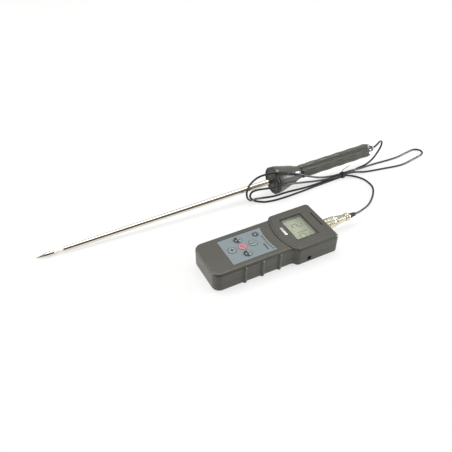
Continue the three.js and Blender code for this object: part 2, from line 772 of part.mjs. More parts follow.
function jackContact() {
  const bore = PIN_RADIUS + GAP;
  const end = BARREL_END - 1.9;
  const back = THREAD_BACK - 2;
  const profile = [
    [0, back],
    [JACK_CONTACT, back],
    [JACK_CONTACT, end],
    [bore, end],
    [bore, end - 5.5],
    [0, end - 5.5],
  ];
  return turnedX(profile, 12);
}
piece(port, "jack_contact", jackContact(), finish(0xd9b65a, 0.3, 1));

const washerFront = -lowerWall - GAP;
const washerBack = washerFront - WASHER_THICKNESS;
const nutFront = washerBack - GAP;
const washer = turnedX(ring(WASHER_RADIUS, THREAD_RADIUS + GAP, washerBack, washerFront));
piece(port, "jack_washer", washer, nickel);
const nutBlank = turnedX(rod(NUT_RADIUS, nutFront - NUT_THICKNESS, nutFront), 6);
const nutBore = turnedX(rod(THREAD_RADIUS + GAP, -FAR, FAR));
piece(port, "jack_nut", cut(nutBlank, nutBore), nickel);

// Turned a quarter, the collar's two notches meet the jack's lugs and the plug comes off.
function plugCollar() {
  const lipEnd = COLLAR_FRONT + COLLAR_LIP;
  const rearLip = PLUG_FLANGE_X + PLUG_FLANGE_THICKNESS + GAP;
  const profile = [
    [BARREL_RADIUS + GAP, COLLAR_FRONT],
    [COLLAR_RADIUS - CHAMFER, COLLAR_FRONT],
    [COLLAR_RADIUS, COLLAR_FRONT + CHAMFER],
    [COLLAR_RADIUS, COLLAR_END - CHAMFER],
    [COLLAR_RADIUS - CHAMFER, COLLAR_END],
    [PLUG_NECK + GAP, COLLAR_END],
    [PLUG_NECK + GAP, rearLip],
    [COLLAR_BORE, rearLip],
    [COLLAR_BORE, lipEnd],
    [BARREL_RADIUS + GAP, lipEnd],
    [BARREL_RADIUS + GAP, COLLAR_FRONT],
  ];
  const half = LUG_RADIUS + GAP;
  const notch = block(COLLAR_FRONT - 1, lipEnd + 1, -COLLAR_BORE, COLLAR_BORE, -half, half);
  return cut(turnedX(profile, FINE), notch);
}
piece(port, "plug_collar", plugCollar(), nickel);

function plugBody() {
  const flangeEnd = PLUG_FLANGE_X + PLUG_FLANGE_THICKNESS;
  const neckEnd = COLLAR_END + GAP;
  const profile = [
    [PLUG_BORE, socketFloor + CHAMFER],
    [PLUG_SLEEVE_RADIUS, socketFloor + CHAMFER],
    [PLUG_SLEEVE_RADIUS, PLUG_FLANGE_X],
    [PLUG_FLANGE, PLUG_FLANGE_X],
    [PLUG_FLANGE, flangeEnd],
    [PLUG_NECK, flangeEnd],
    [PLUG_NECK, neckEnd],
    [PLUG_TAIL, neckEnd],
    [PLUG_TAIL, PLUG_TAIL_END],
    [CORD_RADIUS + GAP, PLUG_TAIL_END],
    [CORD_RADIUS + GAP, PLUG_TAIL_END - 9],
    [PLUG_BORE, PLUG_TAIL_END - 9],
    [PLUG_BORE, socketFloor + CHAMFER],
  ];
  return turnedX(profile);
}
piece(port, "plug_body", plugBody(), nickel);

const gasket = turnedX(ring(PLUG_FLANGE - 0.2, PLUG_SLEEVE_RADIUS + GAP, BARREL_END + GAP, PLUG_FLANGE_X - GAP));
piece(port, "plug_gasket", gasket, finish(0x8a2f22, 0.7));

const insulatorX = BARREL_END - 0.8;
const plugInsulator = turnedX(ring(PLUG_BORE - GAP, PIN_RADIUS + GAP, insulatorX, PLUG_TAIL_END - 9.5), 16);
piece(port, "plug_insulator", plugInsulator, teflon);
const plugPin = turnedX(rod(PIN_RADIUS, BARREL_END - 6.4, PLUG_TAIL_END - 10), 8);
piece(port, "plug_pin", plugPin, finish(0xd9b65a, 0.3, 1));

const shroudStart = COLLAR_END + 2 * GAP;
const shroudEnd = PLUG_TAIL_END + 0.7;

function plugShroud() {
  const [front, back] = SHROUD_RADII;
  const bore = PLUG_TAIL + GAP;
  const profile = [
    [bore, shroudStart],
    [front, shroudStart],
    [front, shroudStart + 4],
    [back, shroudEnd],
    [bore, shroudEnd],
    [bore, shroudStart],
  ];
  return turnedX(profile, FINE);
}
piece(port, "plug_shroud", plugShroud(), nickel);

const clampStart = shroudEnd + GAP;
const clampEnd = clampStart + CLAMP_LENGTH;
const clamp = turnedX(ring(CLAMP_RADIUS, CORD_RADIUS + GAP, clampStart, clampEnd));
piece(port, "plug_clamp_nut", clamp, nickel);

const bootStart = clampEnd + GAP;
const bootProfile = [
  [0, bootStart],
  [BOOT_RADII[0], bootStart],
  [BOOT_RADII[0], bootStart + 3],
  [BOOT_RADII[1], bootStart + BOOT_LENGTH],
  [0, bootStart + BOOT_LENGTH],
];
piece(port, "plug_boot", turnedX(bootProfile), finish(0x141416, 0.6));

meter.position.set(METER_END[0] - CASE_LENGTH, METER_END[1], 0);

// ---- Probe -----------------------------------------------------------------------------------
const steel = finish(0xd8d6cf, 0.16, 1);
const tipProfile = [
  [0, 0],
  [0.35, 0],
  [TIP_RADIUS, TIP_CONE],
  [TIP_RADIUS, TIP_LENGTH],
  [0, TIP_LENGTH],
];
piece(probe, "probe_tip", turnedX(tipProfile), steel);

const insulatorStart = TIP_LENGTH + GAP;
const insulatorEnd = insulatorStart + INSULATOR_LENGTH;
const tipInsulator = turnedX(ring(TIP_RADIUS, CORE_RADIUS + GAP, insulatorStart, insulatorEnd));
piece(probe, "tip_insulator", tipInsulator, finish(0xf4f2ec, 0.5));

const guardPlateEnd = GUARD_X + GUARD_PLATE;
const guardStart = guardPlateEnd + GAP;
const guardEnd = guardStart + GUARD_LENGTH;
const neckRingStart = guardEnd + GAP;
const gripStart = neckRingStart + NECK_RING + GAP;
const gripEnd = gripStart + GRIP_LENGTH;
const tubeEnd = gripStart + TUBE_IN_GRIP;

function probeTube() {
  const start = insulatorEnd + GAP;
  const profile = [
    [TUBE_BORE, start],
    [TUBE_FRONT_RADIUS, start],
    [TUBE_RADIUS, GUARD_X - 12],
    [TUBE_RADIUS, tubeEnd],
    [TUBE_BORE, tubeEnd],
    [TUBE_BORE, start],
  ];
  return turnedX(profile);
}
piece(probe, "probe_tube", probeTube(), steel);

// The inner conductor ends in a thicker stud, where the cord is soldered on inside the grip.
function probeCore() {
  const studStart = tubeEnd + 28;
  const profile = [
    [0, insulatorStart],
    [CORE_RADIUS, insulatorStart],
    [CORE_RADIUS, studStart],
    [STUD_RADIUS, studStart],
    [STUD_RADIUS, studStart + STUD_LENGTH],
    [0, studStart + STUD_LENGTH],
  ];
  return turnedX(profile, 12);
}
piece(probe, "probe_core", probeCore(), finish(0xb9803f, 0.35, 1));

const moulding = finish(0x76756c, 0.42);
const guardBore = TUBE_RADIUS + GAP;
const rim = 0.9; // rounding of the guard's rims
const plateProfile = [
  [guardBore, GUARD_X],
  [GUARD_RADIUS - rim, GUARD_X],
  [GUARD_RADIUS - rim * 0.3, GUARD_X + rim * 0.3],
  [GUARD_RADIUS, GUARD_X + rim],
  [GUARD_RADIUS, guardPlateEnd - rim],
  [GUARD_RADIUS - rim, guardPlateEnd],
  [guardBore, guardPlateEnd],
  [guardBore, GUARD_X],
];
piece(probe, "guard_plate", turnedX(plateProfile, FINE), moulding);

// A straight-sided bell that runs down to a short round neck.
function guardBell() {
  const profile = [
    [guardBore, guardStart],
    [GUARD_RADIUS - rim, guardStart],
    [GUARD_RADIUS, guardStart + rim],
    [GUARD_RADIUS - 0.1, guardStart + 4.5],
    [GUARD_RADIUS - 0.9, guardStart + 7.5],
    [NECK_RADIUS + 1.9, guardEnd - 6.5],
    [NECK_RADIUS + 0.5, guardEnd - 3],
    [NECK_RADIUS, guardEnd - 1],
    [NECK_RADIUS, guardEnd],
    [guardBore, guardEnd],
    [guardBore, guardStart],
  ];
  return turnedX(profile, FINE);
}
piece(probe, "guard_bell", guardBell(), moulding);

const neckRing = turnedX(ring(NECK_RADIUS - 1.1, guardBore, neckRingStart, neckRingStart + NECK_RING));
piece(probe, "neck_ring", neckRing, finish(0x2b2b2a, 0.6));

// A surface through round sections: each [x, radius, lobes] is one section across the X axis.
function lobedBar(sections, sides) {
  const points = [];
  const faces = [];
  sections.forEach(([x, radius, depth]) => {
    for (let i = 0; i < sides; i += 1) {
      const angle = (2 * Math.PI * i) / sides;
      const lobe = Math.abs(Math.sin((GRIP_LOBES * angle) / 2));
      const reach = radius - depth * (1 - lobe);
      points.push(x, reach * Math.cos(angle), reach * Math.sin(angle));
    }
  });
  const last = sections.length - 1;
  points.push(sections[0][0], 0, 0, sections[last][0], 0, 0);
  const firstCenter = sections.length * sides;
  for (let i = 0; i < sides; i += 1) {
    const next = (i + 1) % sides;
    for (let k = 0; k < last; k += 1) {
      const [a, b] = [k * sides + i, k * sides + next];
      faces.push(a, b, b + sides, a, b + sides, a + sides);
    }
    faces.push(firstCenter, next, i, firstCenter + 1, last * sides + i, last * sides + next);
  }
  const bar = new THREE.BufferGeometry();
  bar.setAttribute("position", new THREE.Float32BufferAttribute(points, 3));
  return bar.setIndex(faces);
}

function gripSleeve() {
  const sections = [
    [gripStart, GRIP_RADIUS - 1.4, LOBE_DEPTH / 2],
    [gripStart + 1.5, GRIP_RADIUS - 0.4, LOBE_DEPTH],
    [gripStart + 6, GRIP_RADIUS, LOBE_DEPTH],
    [gripEnd - 5, GRIP_RADIUS, LOBE_DEPTH],
    [gripEnd - 1.5, GRIP_RADIUS - 0.6, LOBE_DEPTH],
    [gripEnd, GRIP_RADIUS - 1.8, LOBE_DEPTH / 2],
  ];
  const bore = turnedX(rod(GRIP_BORE, 0, FAR * 2));
  return cut(lobedBar(sections, GRIP_LOBES * 6), bore);
}
piece(probe, "grip_sleeve", gripSleeve(), moulding);

const linerRadius = GRIP_BORE - GAP;
const linerEnd = gripEnd - 6;
const liner = turnedX(ring(linerRadius, linerRadius - LINER_WALL, gripStart, linerEnd));
piece(probe, "grip_liner", liner, finish(0xd7d3c4, 0.6));

const glandStart = linerEnd + GAP;
const glandEnd = gripEnd + GLAND_LENGTH;
const glandProfile = [
  [0, glandStart],
  [linerRadius, glandStart],
  [linerRadius, gripEnd - 0.6],
  [GLAND_RADIUS + 0.6, gripEnd + 0.3],
  [GLAND_RADIUS, glandEnd],
  [0, glandEnd],
];
piece(probe, "cord_gland", turnedX(glandProfile), finish(0x1c1c1d, 0.6));

const ferruleStart = glandEnd + GAP;
const ferrule = turnedX(rod(FERRULE_RADIUS, ferruleStart, ferruleStart + FERRULE_LENGTH), 16);
piece(probe, "gland_ferrule", ferrule, nickel);

// The probe lies on the rim of its guard and on the shoulder of its tip.
const rimX = GUARD_X + rim;
const tilt = Math.atan((GUARD_RADIUS - TIP_RADIUS) / (rimX - TIP_CONE));
const tipHeight = TIP_RADIUS * Math.cos(tilt) - TIP_CONE * Math.sin(tilt);
probe.rotation.set(0, -tilt, PROBE_YAW, "ZYX");
probe.position.set(...PROBE_TIP, tipHeight);

// ---- Cord ------------------------------------------------------------------------------------
// One section stands at each point of the route, so that tight bends get their own.
class CordRoute extends THREE.CatmullRomCurve3 {
  getPointAt(share, target) {
    return this.getPoint(share, target);
  }

  getTangentAt(share, target) {
    return this.getTangent(share, target);
  }
}

function cordTube() {
  const route = new CordRoute(CORD_ROUTE.map((point) => new THREE.Vector3(...point)));
  const section = new THREE.Shape();
  for (let i = 0; i < CORD_SIDES; i += 1) {
    const angle = (2 * Math.PI * (i + 0.5)) / CORD_SIDES;
    const corner = [CORD_RADIUS * Math.cos(angle), CORD_RADIUS * Math.sin(angle)];
    if (i) section.lineTo(...corner);
    else section.moveTo(...corner);
  }
  return new THREE.ExtrudeGeometry(section, { steps: CORD_ROUTE.length - 1, extrudePath: route });
}
piece(object, "cord_cable", cordTube(), finish(0x19191b, 0.5));

// The twist tie: a band round the four strands.
function twistTie() {
  const inner = TIE_STRAND_PITCH / 2 + CORD_RADIUS + GAP;
  const band = (half, length) =>
    block(TIE_X - length, TIE_X + length, TIE_Y - half, TIE_Y + half, TIE_Z - half, TIE_Z + half);
  return cut(band(inner + TIE_WALL, TIE_LENGTH / 2), band(inner, TIE_LENGTH));
}
piece(object, "cord_tie", twistTie(), finish(0x202022, 0.5));

export default object;
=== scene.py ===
"""A grain moisture meter on a pale table: the meter, its spear probe and the thin cord between them.

Shapes are drawn in millimetres, in the meter's frame (X from the foot to the connector end, Z up from
the table) or in the probe's frame (X along its axis, from the point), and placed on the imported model.
"""
import json
import math

import bmesh
import bpy
from mathutils import Matrix, Vector


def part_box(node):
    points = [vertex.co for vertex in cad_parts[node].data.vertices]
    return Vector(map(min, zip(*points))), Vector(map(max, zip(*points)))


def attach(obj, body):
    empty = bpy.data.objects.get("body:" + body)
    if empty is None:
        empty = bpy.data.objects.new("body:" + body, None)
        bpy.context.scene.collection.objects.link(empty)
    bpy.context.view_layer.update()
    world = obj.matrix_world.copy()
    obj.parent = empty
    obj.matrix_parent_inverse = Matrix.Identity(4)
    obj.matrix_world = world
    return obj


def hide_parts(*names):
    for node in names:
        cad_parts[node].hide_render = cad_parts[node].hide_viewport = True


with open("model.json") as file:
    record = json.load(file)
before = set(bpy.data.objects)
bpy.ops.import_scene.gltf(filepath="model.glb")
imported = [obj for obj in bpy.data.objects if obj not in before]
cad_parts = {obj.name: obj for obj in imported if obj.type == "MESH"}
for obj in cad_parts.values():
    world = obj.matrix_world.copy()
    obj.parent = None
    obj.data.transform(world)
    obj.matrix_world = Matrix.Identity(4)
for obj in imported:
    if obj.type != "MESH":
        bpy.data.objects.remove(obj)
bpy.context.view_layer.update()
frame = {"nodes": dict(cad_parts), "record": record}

MM = 0.001
GAP = 0.3  # clearance between pieces that touch
AXIS = 0.01  # the radius that stands for the axis itself in a turned profile
SIDES = 48  # of small round pieces
SMOOTH_ANGLE = 35  # degrees; edges sharper than this stay sharp
STRAIGHT_ANGLE = 160  # degrees; a corner of a profile opener than this isn't rounded
TINY = 1e-6
ROOT = "instrument"

# ---- Sizes. The overall ones are the CAD model's; fine details are this model's own ---------------
CASE_LENGTH = 165
CASE_HEIGHT = 26
GRIP_WIDTH = 59.6
HEAD_WIDTH = 71
FOOT_RADIUS = 10
HEAD_RADIUS = 5.5
WAIST_START = 99
WAIST_LENGTH = 12
WAIST_PULL = 0.72  # how far each end of the waist's curve runs on straight, as a share of its length
TOP_EDGE = 3.4  # rounding of the upper edge
BOTTOM_EDGE = 3
WALL = 2.5
LOWER_WALL = 3.8
FLOOR = 3.4
SEAM_HEIGHT = 11
SEAM_GAP = 0.12
SEAM_EDGE = 0.12
GRIP_RIB_X = (38.4, 61.4, 84.4)
GRIP_RIB_RADIUS = 2.7
GRIP_RIB_PROUD = 1.5
GRIP_RIB_FOOT = 1.2
GRIP_RIB_TOP = 24.2

ARC_CENTER_X = 167.6
GROOVE_ARC = 71.4
GROOVE_WIDTH = 1.5
GROOVE_DEPTH = 1.3
SHOULDER_ARC = 68.2  # a second, faint line inside the groove
SHOULDER_WIDTH = 0.8
SHOULDER_DEPTH = 0.45
LABEL_ARC = 84  # the arcs share one centre, at ARC_CENTER_X
LABEL_START = 27.5
LABEL_WIDTH = 43.3
LABEL_RECESS = 0.8
LABEL_TOP = 25.9
KEYPAD_CENTER = (51.4, 0.6)
KEY_PITCH = (13.9, 12.6)
KEY_RADIUS = 5.2
KEY_TOP = 26.35
INK_ROOT = 0.02  # every print starts this far under the surface it lies on
INK = 0.04
OVERPRINT = 0.07  # pale ink over dark
BORDER_INK = 0.03
FIGURE_INK = 0.05
KEY_INKS = ("ink_black", "ink_grey", "ink_red", "ink_pale")
MARK_CENTER = (75.1, 12.8)  # a droplet in a dark disc
DASHES = 8  # along the label's arched end, in place of lettering
DASH_ARC = 87.4
DASH_FIRST_Y = 6.5
DASH_SPAN = 24
DASH_LEAN = 0.35
SHORT_DASHES = 6
SHORT_DASH_FIRST_Y = -6.6
SHORT_DASH_PITCH = 1.9
KEYS = {
    "power_key": (0, 0),
    "menu_key": (-1, 0),
    "light_key": (1, 0),
    "up_key": (0, 1),
    "down_key": (0, -1),
}

WINDOW_CENTER = (129.6, 1.2)
WINDOW_SIZE = (31, 42)
PANE_TOP = 25.2
BADGE_CENTER = (108.6, 1.6)
BADGE_SIZE = (3.6, 15)
BADGE_RECESS = 0.6
SLOT_X = 157.2
SLOT_Y = (-9.7, 16.7)
SLOT_WIDTH = 1.5
SLOT_DEPTH = 2.2
DIGIT_X = (124.6, 138.4)
DIGITS = (("2", 10.8, 4.8), ("1", 0, -4.8), ("2", -8.4, -15.2))  # the figure, its left and its right
DIGIT_STROKE = 1.1
DIGIT_LEAN = 0.04
COVER_END = 59.5
COVER_HALF = 23
COVER_LIP = 1.4
COVER_LIP_TOP = 2.4
COVER_RIDGES = 4
COVER_RIDGE_START = 47
COVER_RIDGE_PITCH = 2.4
BAY_X = (8.5, 56)
BAY_HALF = 22.4
BAY_RIBS = (("bay_rib_rear", 5.3), ("bay_rib_front", 56.4))
SCREWS = ((66, 21), (66, -21), (152, 27), (152, -27))
SOCKET_X = 122.5
SOCKET_Z = 7.1
SOCKET_HOLE = 3
PORT_Z = 13.5
PORT_HOLE = 4.9
COLLAR_RINGS = 10  # points along the collar's fluted part
COLLAR_FLUTES = 24
COLLAR_SIDES = 144
BOOT_RINGS = 3

TIP_CONE = 13.4
TIP_RADIUS = 3
TIP_LENGTH = 22.3
INSULATOR_LENGTH = 10.1
GUARD_X = 322
GUARD_RADIUS = 19.2
GUARD_PLATE = 4
GUARD_LENGTH = 38.2
NECK_RADIUS = 9.7
GRIP_RADIUS = 10.1
GRIP_LENGTH = 117.2
GRIP_LOBES = 6
GRIP_SIDES = 144
FLUTE_DEPTH = 2.7
WAVE_LENGTH = 22
WAVE_DEPTH = 0.45

CORD_RADIUS = 1.4
TIE = (187, 44, 4)
TIE_TAILS = {  # seen from the middle of the tie
    "tie_tail_1": ((0, 3, 3), (5, 5, 5), (12, 8, 4), (22, 12.5, 2)),
    "tie_tail_2": ((0, -3, 3), (5, -5.6, 1), (12, -7.5, -2), (20, -9.5, -3)),
}
CORD_ROUTE = [
    (139.3, -44.4, 13.5), (148, -42.6, 12.2), (157, -38.6, 9.8), (167, -33.6, 6.6), (177, -27.8, 3.6),
    (187, -20.9, 1.9), (197, -12.6, 1.7), (204.6, -4.3, 1.7), (209, 3, 1.7), (210.8, 12, 1.7),
    (209.8, 23.6, 1.7), (204, 33.6, 1.8), (193, 42, 2.4), (184, 42.45, 2.45),
    (165, 42.4, 1.9), (140, 41.8, 1.7), (110, 40.2, 1.7), (76, 40, 1.7), (58, 43, 1.7),
    (49.5, 47.9, 1.7), (42.8, 52.2, 3.5), (39.2, 54.7, 9.3), (41.6, 54.7, 15.6), (49.4, 52.4, 18.6),
    (66, 44.4, 21.8), (76.5, 39.7, 25.2), (87, 39.5, 23.6), (112, 44, 15), (142, 44.4, 8),
    (165, 42.8, 5.8), (184, 42.45, 5.55), (194, 42.4, 5.5), (208, 41, 4.2), (224, 37.5, 1.8),
    (252, 32, 1.7), (284, 27, 1.7), (312, 30.8, 1.7), (323, 32.8, 1.7), (330.6, 34.8, 1.7),
    (335.8, 39.2, 1.7), (336.2, 45.4, 1.7), (331.6, 50, 1.7), (324, 51, 1.7), (313, 49.2, 1.7),
    (288, 46, 1.7), (246, 47.8, 1.7), (220, 46.6, 3.2), (204, 45.7, 5.2), (194, 45.55, 5.55),
    (184, 45.55, 5.55), (168, 46.3, 6.2), (150, 46.6, 10), (128, 45.3, 20), (105, 46, 31.6),
    (87, 47.6, 38), (76, 50.2, 39.4), (67, 54.5, 38.2), (54, 61.5, 31.5), (40.5, 58, 26.8),
    (33.5, 53.6, 21.5), (32, 50.3, 13.5), (36.5, 48.7, 7.8), (46, 50.9, 5.4), (57, 52.2, 2.3),
    (74, 49, 1.7), (95, 48.4, 1.7), (125, 45.6, 1.7), (150, 45.4, 1.8), (170, 45.5, 2.3),
    (184, 45.55, 2.45), (196, 45.7, 2.3), (208, 47.6, 1.8), (220, 50, 1.8), (232, 50.6, 2.7),
    (241, 51.4, 4.9), (249, 53, 8), (256, 55.2, 12), (262.2, 57.2, 17), (266.2, 58.4, 23.4),
    (264.9, 57.7, 30.3), (259, 55.7, 33.3), (252.4, 53.9, 31), (246, 53.2, 27.9),
]


def center(node):
    low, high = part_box(node)
    return (Vector(low) + Vector(high)) / 2


def meter_frame():
    low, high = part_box("lower_shell")
    return Matrix.Translation((low[0], (low[1] + high[1]) / 2, low[2])) @ Matrix.Scale(MM, 4)


def probe_frame():
    """X along the probe's axis from the point of the tip, Z as near upright as that allows."""
    front, back = center("tip_insulator"), center("gland_ferrule")
    along = (back - front).normalized()
    side = Vector((0, 0, 1)).cross(along).normalized()
    turn = Matrix((along, side, along.cross(side))).transposed().to_4x4()
    middle_of_insulator = TIP_LENGTH + GAP + INSULATOR_LENGTH / 2
    tip = front - along * middle_of_insulator * MM
    return Matrix.Translation(tip) @ turn @ Matrix.Scale(MM, 4)


METER = meter_frame()
PORT = METER @ Matrix.Translation((CASE_LENGTH, 0, PORT_Z))
PROBE = probe_frame()
WORLD = Matrix.Scale(MM, 4)


# ---- Materials -----------------------------------------------------------------------------------
def linear(red, green, blue):
    """A colour given in ordinary 0-255 steps, as Blender's linear values."""
    def channel(value):
        value /= 255
        return value / 12.92 if value <= 0.04045 else ((value + 0.055) / 1.055) ** 2.4
    return (channel(red), channel(green), channel(blue), 1)


def shade(color, factor):
    return tuple(min(channel * factor, 1) for channel in color[:3]) + (1,)


class Nodes:
    """A short way to add and join the nodes of one material."""

    def __init__(self, name):
        self.material = bpy.data.materials.new(name)
        self.material.use_nodes = True
        self.tree = self.material.node_tree
        self.shader = self.tree.nodes["Principled BSDF"]
        self.place = self.add("ShaderNodeTexCoord").outputs["Object"]

    def add(self, kind, **settings):
        node = self.tree.nodes.new(kind)
        for key, value in settings.items():
            if key in node.inputs:
                node.inputs[key].default_value = value
            else:
                setattr(node, key, value)
        return node

    def link(self, source, target):
        self.tree.links.new(source, target)

    def stretched(self, scale):
        mapping = self.add("ShaderNodeMapping", Scale=scale)
        self.link(self.place, mapping.inputs["Vector"])
        return mapping.outputs["Vector"]

    def noise(self, size_mm, detail=2, vector=None):
        node = self.add("ShaderNodeTexNoise", Scale=1 / (size_mm * MM), Detail=detail)
        self.link(vector or self.place, node.inputs["Vector"])
        return node.outputs["Fac"]

    def ramp(self, source, *stops):
        node = self.add("ShaderNodeValToRGB")
        elements = node.color_ramp.elements
        while len(elements) < len(stops):
            elements.new(0.5)
        for element, (position, color) in zip(elements, stops):
            element.position = position
            element.color = color
        self.link(source, node.inputs["Fac"])
        return node.outputs["Color"]

    def spread(self, source, low, high):
        """Maps the middle of a noise's range onto low to high."""
        node = self.add("ShaderNodeMapRange")
        node.inputs["From Min"].default_value = 0.3
        node.inputs["From Max"].default_value = 0.7
        node.inputs["To Min"].default_value = low
        node.inputs["To Max"].default_value = high
        self.link(source, node.inputs["Value"])
        return node.outputs["Result"]

    def bump(self, source, depth_mm, strength=1.0, under=None):
        node = self.add("ShaderNodeBump", Distance=depth_mm * MM, Strength=strength)
        self.link(source, node.inputs["Height"])
        if under:
            self.link(under, node.inputs["Normal"])
        return node.outputs["Normal"]

    def socket(self, name):
        return self.shader.inputs[name]

    def color(self, source, *stops):
        """Colours the surface through a ramp."""
        self.link(self.ramp(source, *stops), self.socket("Base Color"))

    def roughness(self, source, low, high):
        self.link(self.spread(source, low, high), self.socket("Roughness"))


def plastic(name, color, roughness, grain_mm=0.45, depth_mm=0.02, uneven=0.05, coat=0.0):
    """Moulded plastic: a fine spark-eroded grain, faint flow marks and a slightly uneven gloss."""
    n = Nodes(name)
    n.color(n.noise(26, 3), (0.3, shade(color, 1 - uneven)), (0.7, shade(color, 1 + uneven)))
    n.roughness(n.noise(5, 3), roughness - 0.04, roughness + 0.05)
    soft = n.bump(n.noise(9, 2), 0.03, 0.5)
    n.link(n.bump(n.noise(grain_mm, 3), depth_mm, 0.6, soft), n.socket("Normal"))
    n.socket("Coat Weight").default_value = coat
    n.socket("Coat Roughness").default_value = 0.16
    return n.material


def metal(name, color, roughness, lines=(40, 1, 1), depth_mm=0.004):
    """Plated or polished metal with a faint grain, finer along the axis with the largest value in lines."""
    n = Nodes(name)
    n.color(n.noise(7, 3), (0.3, shade(color, 0.96)), (0.7, shade(color, 1.04)))
    n.roughness(n.noise(3, 3), roughness - 0.03, roughness + 0.05)
    n.link(n.bump(n.noise(12, 4, n.stretched(lines)), depth_mm, 0.5), n.socket("Normal"))
    n.socket("Metallic").default_value = 1.0
    return n.material


def rubber(name, color, roughness):
    n = Nodes(name)
    n.color(n.noise(4, 4), (0.3, shade(color, 0.85)), (0.7, shade(color, 1.2)))
    n.roughness(n.noise(2, 3), roughness - 0.06, roughness + 0.08)
    n.link(n.bump(n.noise(0.5, 4), 0.03, 0.6), n.socket("Normal"))
    n.socket("Sheen Weight").default_value = 0.1
    return n.material


def ink(name, color):
    """Screen print, a little uneven in strength."""
    n = Nodes(name)
    n.color(n.noise(0.8, 4), (0.35, shade(color, 0.9)), (0.65, shade(color, 1.1)))
    n.roughness(n.noise(1.5), 0.4, 0.5)
    return n.material


def board_laminate():
    """Green solder mask over a pattern of copper tracks."""
    n = Nodes("board_laminate")
    tracks = n.add("ShaderNodeTexBrick", Scale=1 / (9 * MM), Color1=(1, 1, 1, 1), Color2=(0.6, 0.6, 0.6, 1))
    tracks.inputs["Mortar Size"].default_value = 0.03
    n.link(n.place, tracks.inputs["Vector"])
    green = linear(26, 92, 52)
    n.color(tracks.outputs["Color"], (0, shade(green, 1.5)), (1, green))
    n.roughness(n.noise(1), 0.3, 0.45)
    return n.material


def battery_wrap():
    """A plain printed sleeve: green, with paler bands."""
    n = Nodes("battery_wrap")
    band = n.add("ShaderNodeTexWave", Scale=1 / (90 * MM), Distortion=0.0)
    n.link(n.place, band.inputs["Vector"])
    green, cream = linear(38, 96, 72), linear(196, 190, 160)
    n.color(band.outputs["Fac"], (0.6, green), (0.66, cream))
    n.roughness(n.noise(2), 0.25, 0.4)
    return n.material


def display_glass():
    """The display's reflector behind its polariser: grey-green, with painted shade that darkens it towards
    the connector end.
    """
    n = Nodes("display_grey")
    split = n.add("ShaderNodeSeparateXYZ")
    n.link(n.place, split.inputs["Vector"])
    low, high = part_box("display_panel")
    along = n.add("ShaderNodeMapRange")
    along.inputs["From Min"].default_value = low[0]
    along.inputs["From Max"].default_value = high[0]
    n.link(split.outputs["X"], along.inputs["Value"])
    # painted shade: the colour runs from paler at the foot end to darker at the connector end
    n.color(along.outputs["Result"], (0, linear(156, 163, 134)), (1, linear(127, 136, 108)))
    n.roughness(n.noise(0.5), 0.35, 0.5)
    n.link(n.bump(n.noise(0.3), 0.01, 0.4), n.socket("Normal"))
    return n.material


def lens_clear():
    n = Nodes("lens_clear")
    n.color(n.noise(6), (0.3, (0.75, 0.79, 0.7, 1)), (0.7, (0.8, 0.83, 0.76, 1)))
    n.roughness(n.noise(4), 0.03, 0.08)
    n.socket("Alpha").default_value = 0.1
    n.socket("Specular IOR Level").default_value = 1.0
    return n.material


CASE_COLOR = linear(68, 67, 60)
NICKEL_COLOR = (0.76, 0.7, 0.56, 1)
MATERIALS = {
    "case_plastic": plastic("case_plastic", CASE_COLOR, 0.36, 0.9, 0.012, coat=0.12),
    "screw_steel": metal("screw_steel", (0.5, 0.5, 0.5, 1), 0.35),
    "battery_wrap": battery_wrap(),
    "contact_spring": metal("contact_spring", (0.7, 0.69, 0.63, 1), 0.3),
    "board_laminate": board_laminate(),
    "label_print": plastic("label_print", linear(116, 127, 131), 0.4, 0.3, 0.008, 0.03),
    "key_red": plastic("key_red", linear(140, 142, 150), 0.4, 0.3, 0.008, 0.03),
    "key_grey": plastic("key_grey", linear(128, 138, 143), 0.4, 0.3, 0.008, 0.03),
    "lens_clear": lens_clear(),
    "display_grey": display_glass(),
    "bezel_tin": metal("bezel_tin", (0.55, 0.55, 0.53, 1), 0.35),
    "zebra_rubber": rubber("zebra_rubber", (0.5, 0.42, 0.45, 1), 0.7),
    "badge_silver": metal("badge_silver", (0.56, 0.58, 0.57, 1), 0.42, (1, 40, 1)),
    "socket_black": plastic("socket_black", linear(30, 30, 30), 0.45),
    "connector_nickel": metal("connector_nickel", NICKEL_COLOR, 0.22, (1, 1, 1), 0.002),
    "insulator_white": plastic("insulator_white", linear(240, 238, 230), 0.5, 0.6, 0.01, 0.02),
    "contact_gold": metal("contact_gold", (0.85, 0.6, 0.2, 1), 0.2),
    "gasket_red": rubber("gasket_red", (0.3, 0.05, 0.03, 1), 0.6),
    "rubber_black": rubber("rubber_black", linear(30, 30, 31), 0.5),
    "probe_steel": metal("probe_steel", (0.72, 0.68, 0.58, 1), 0.14, (1, 1, 1), 0.002),
    # painted shade: a darker copy of the handle plastic, for the guard's front face
    "guard_painted_shade": plastic("guard_painted_shade", linear(36, 36, 35), 0.5, 0.9, 0.01),
    "core_copper": metal("core_copper", (0.72, 0.38, 0.17, 1), 0.3),
    "handle_plastic": plastic("handle_plastic", linear(72, 72, 66), 0.24, 0.9, 0.01, 0.06, coat=0.6),
    "liner_plastic": plastic("liner_plastic", linear(214, 208, 190), 0.5),
    "cord_black": rubber("cord_black", linear(16, 17, 20), 0.45),
    "tie_black": plastic("tie_black", linear(28, 28, 28), 0.4),
    "ink_black": ink("ink_black", linear(34, 37, 42)),
    "ink_red": ink("ink_red", linear(188, 62, 78)),
    "ink_pale": ink("ink_pale", linear(158, 160, 164)),
    "ink_grey": ink("ink_grey", linear(62, 104, 104)),
    "ink_faint": ink("ink_faint", linear(150, 158, 162)),
    "display_ink": ink("display_ink", linear(34, 38, 26)),
}


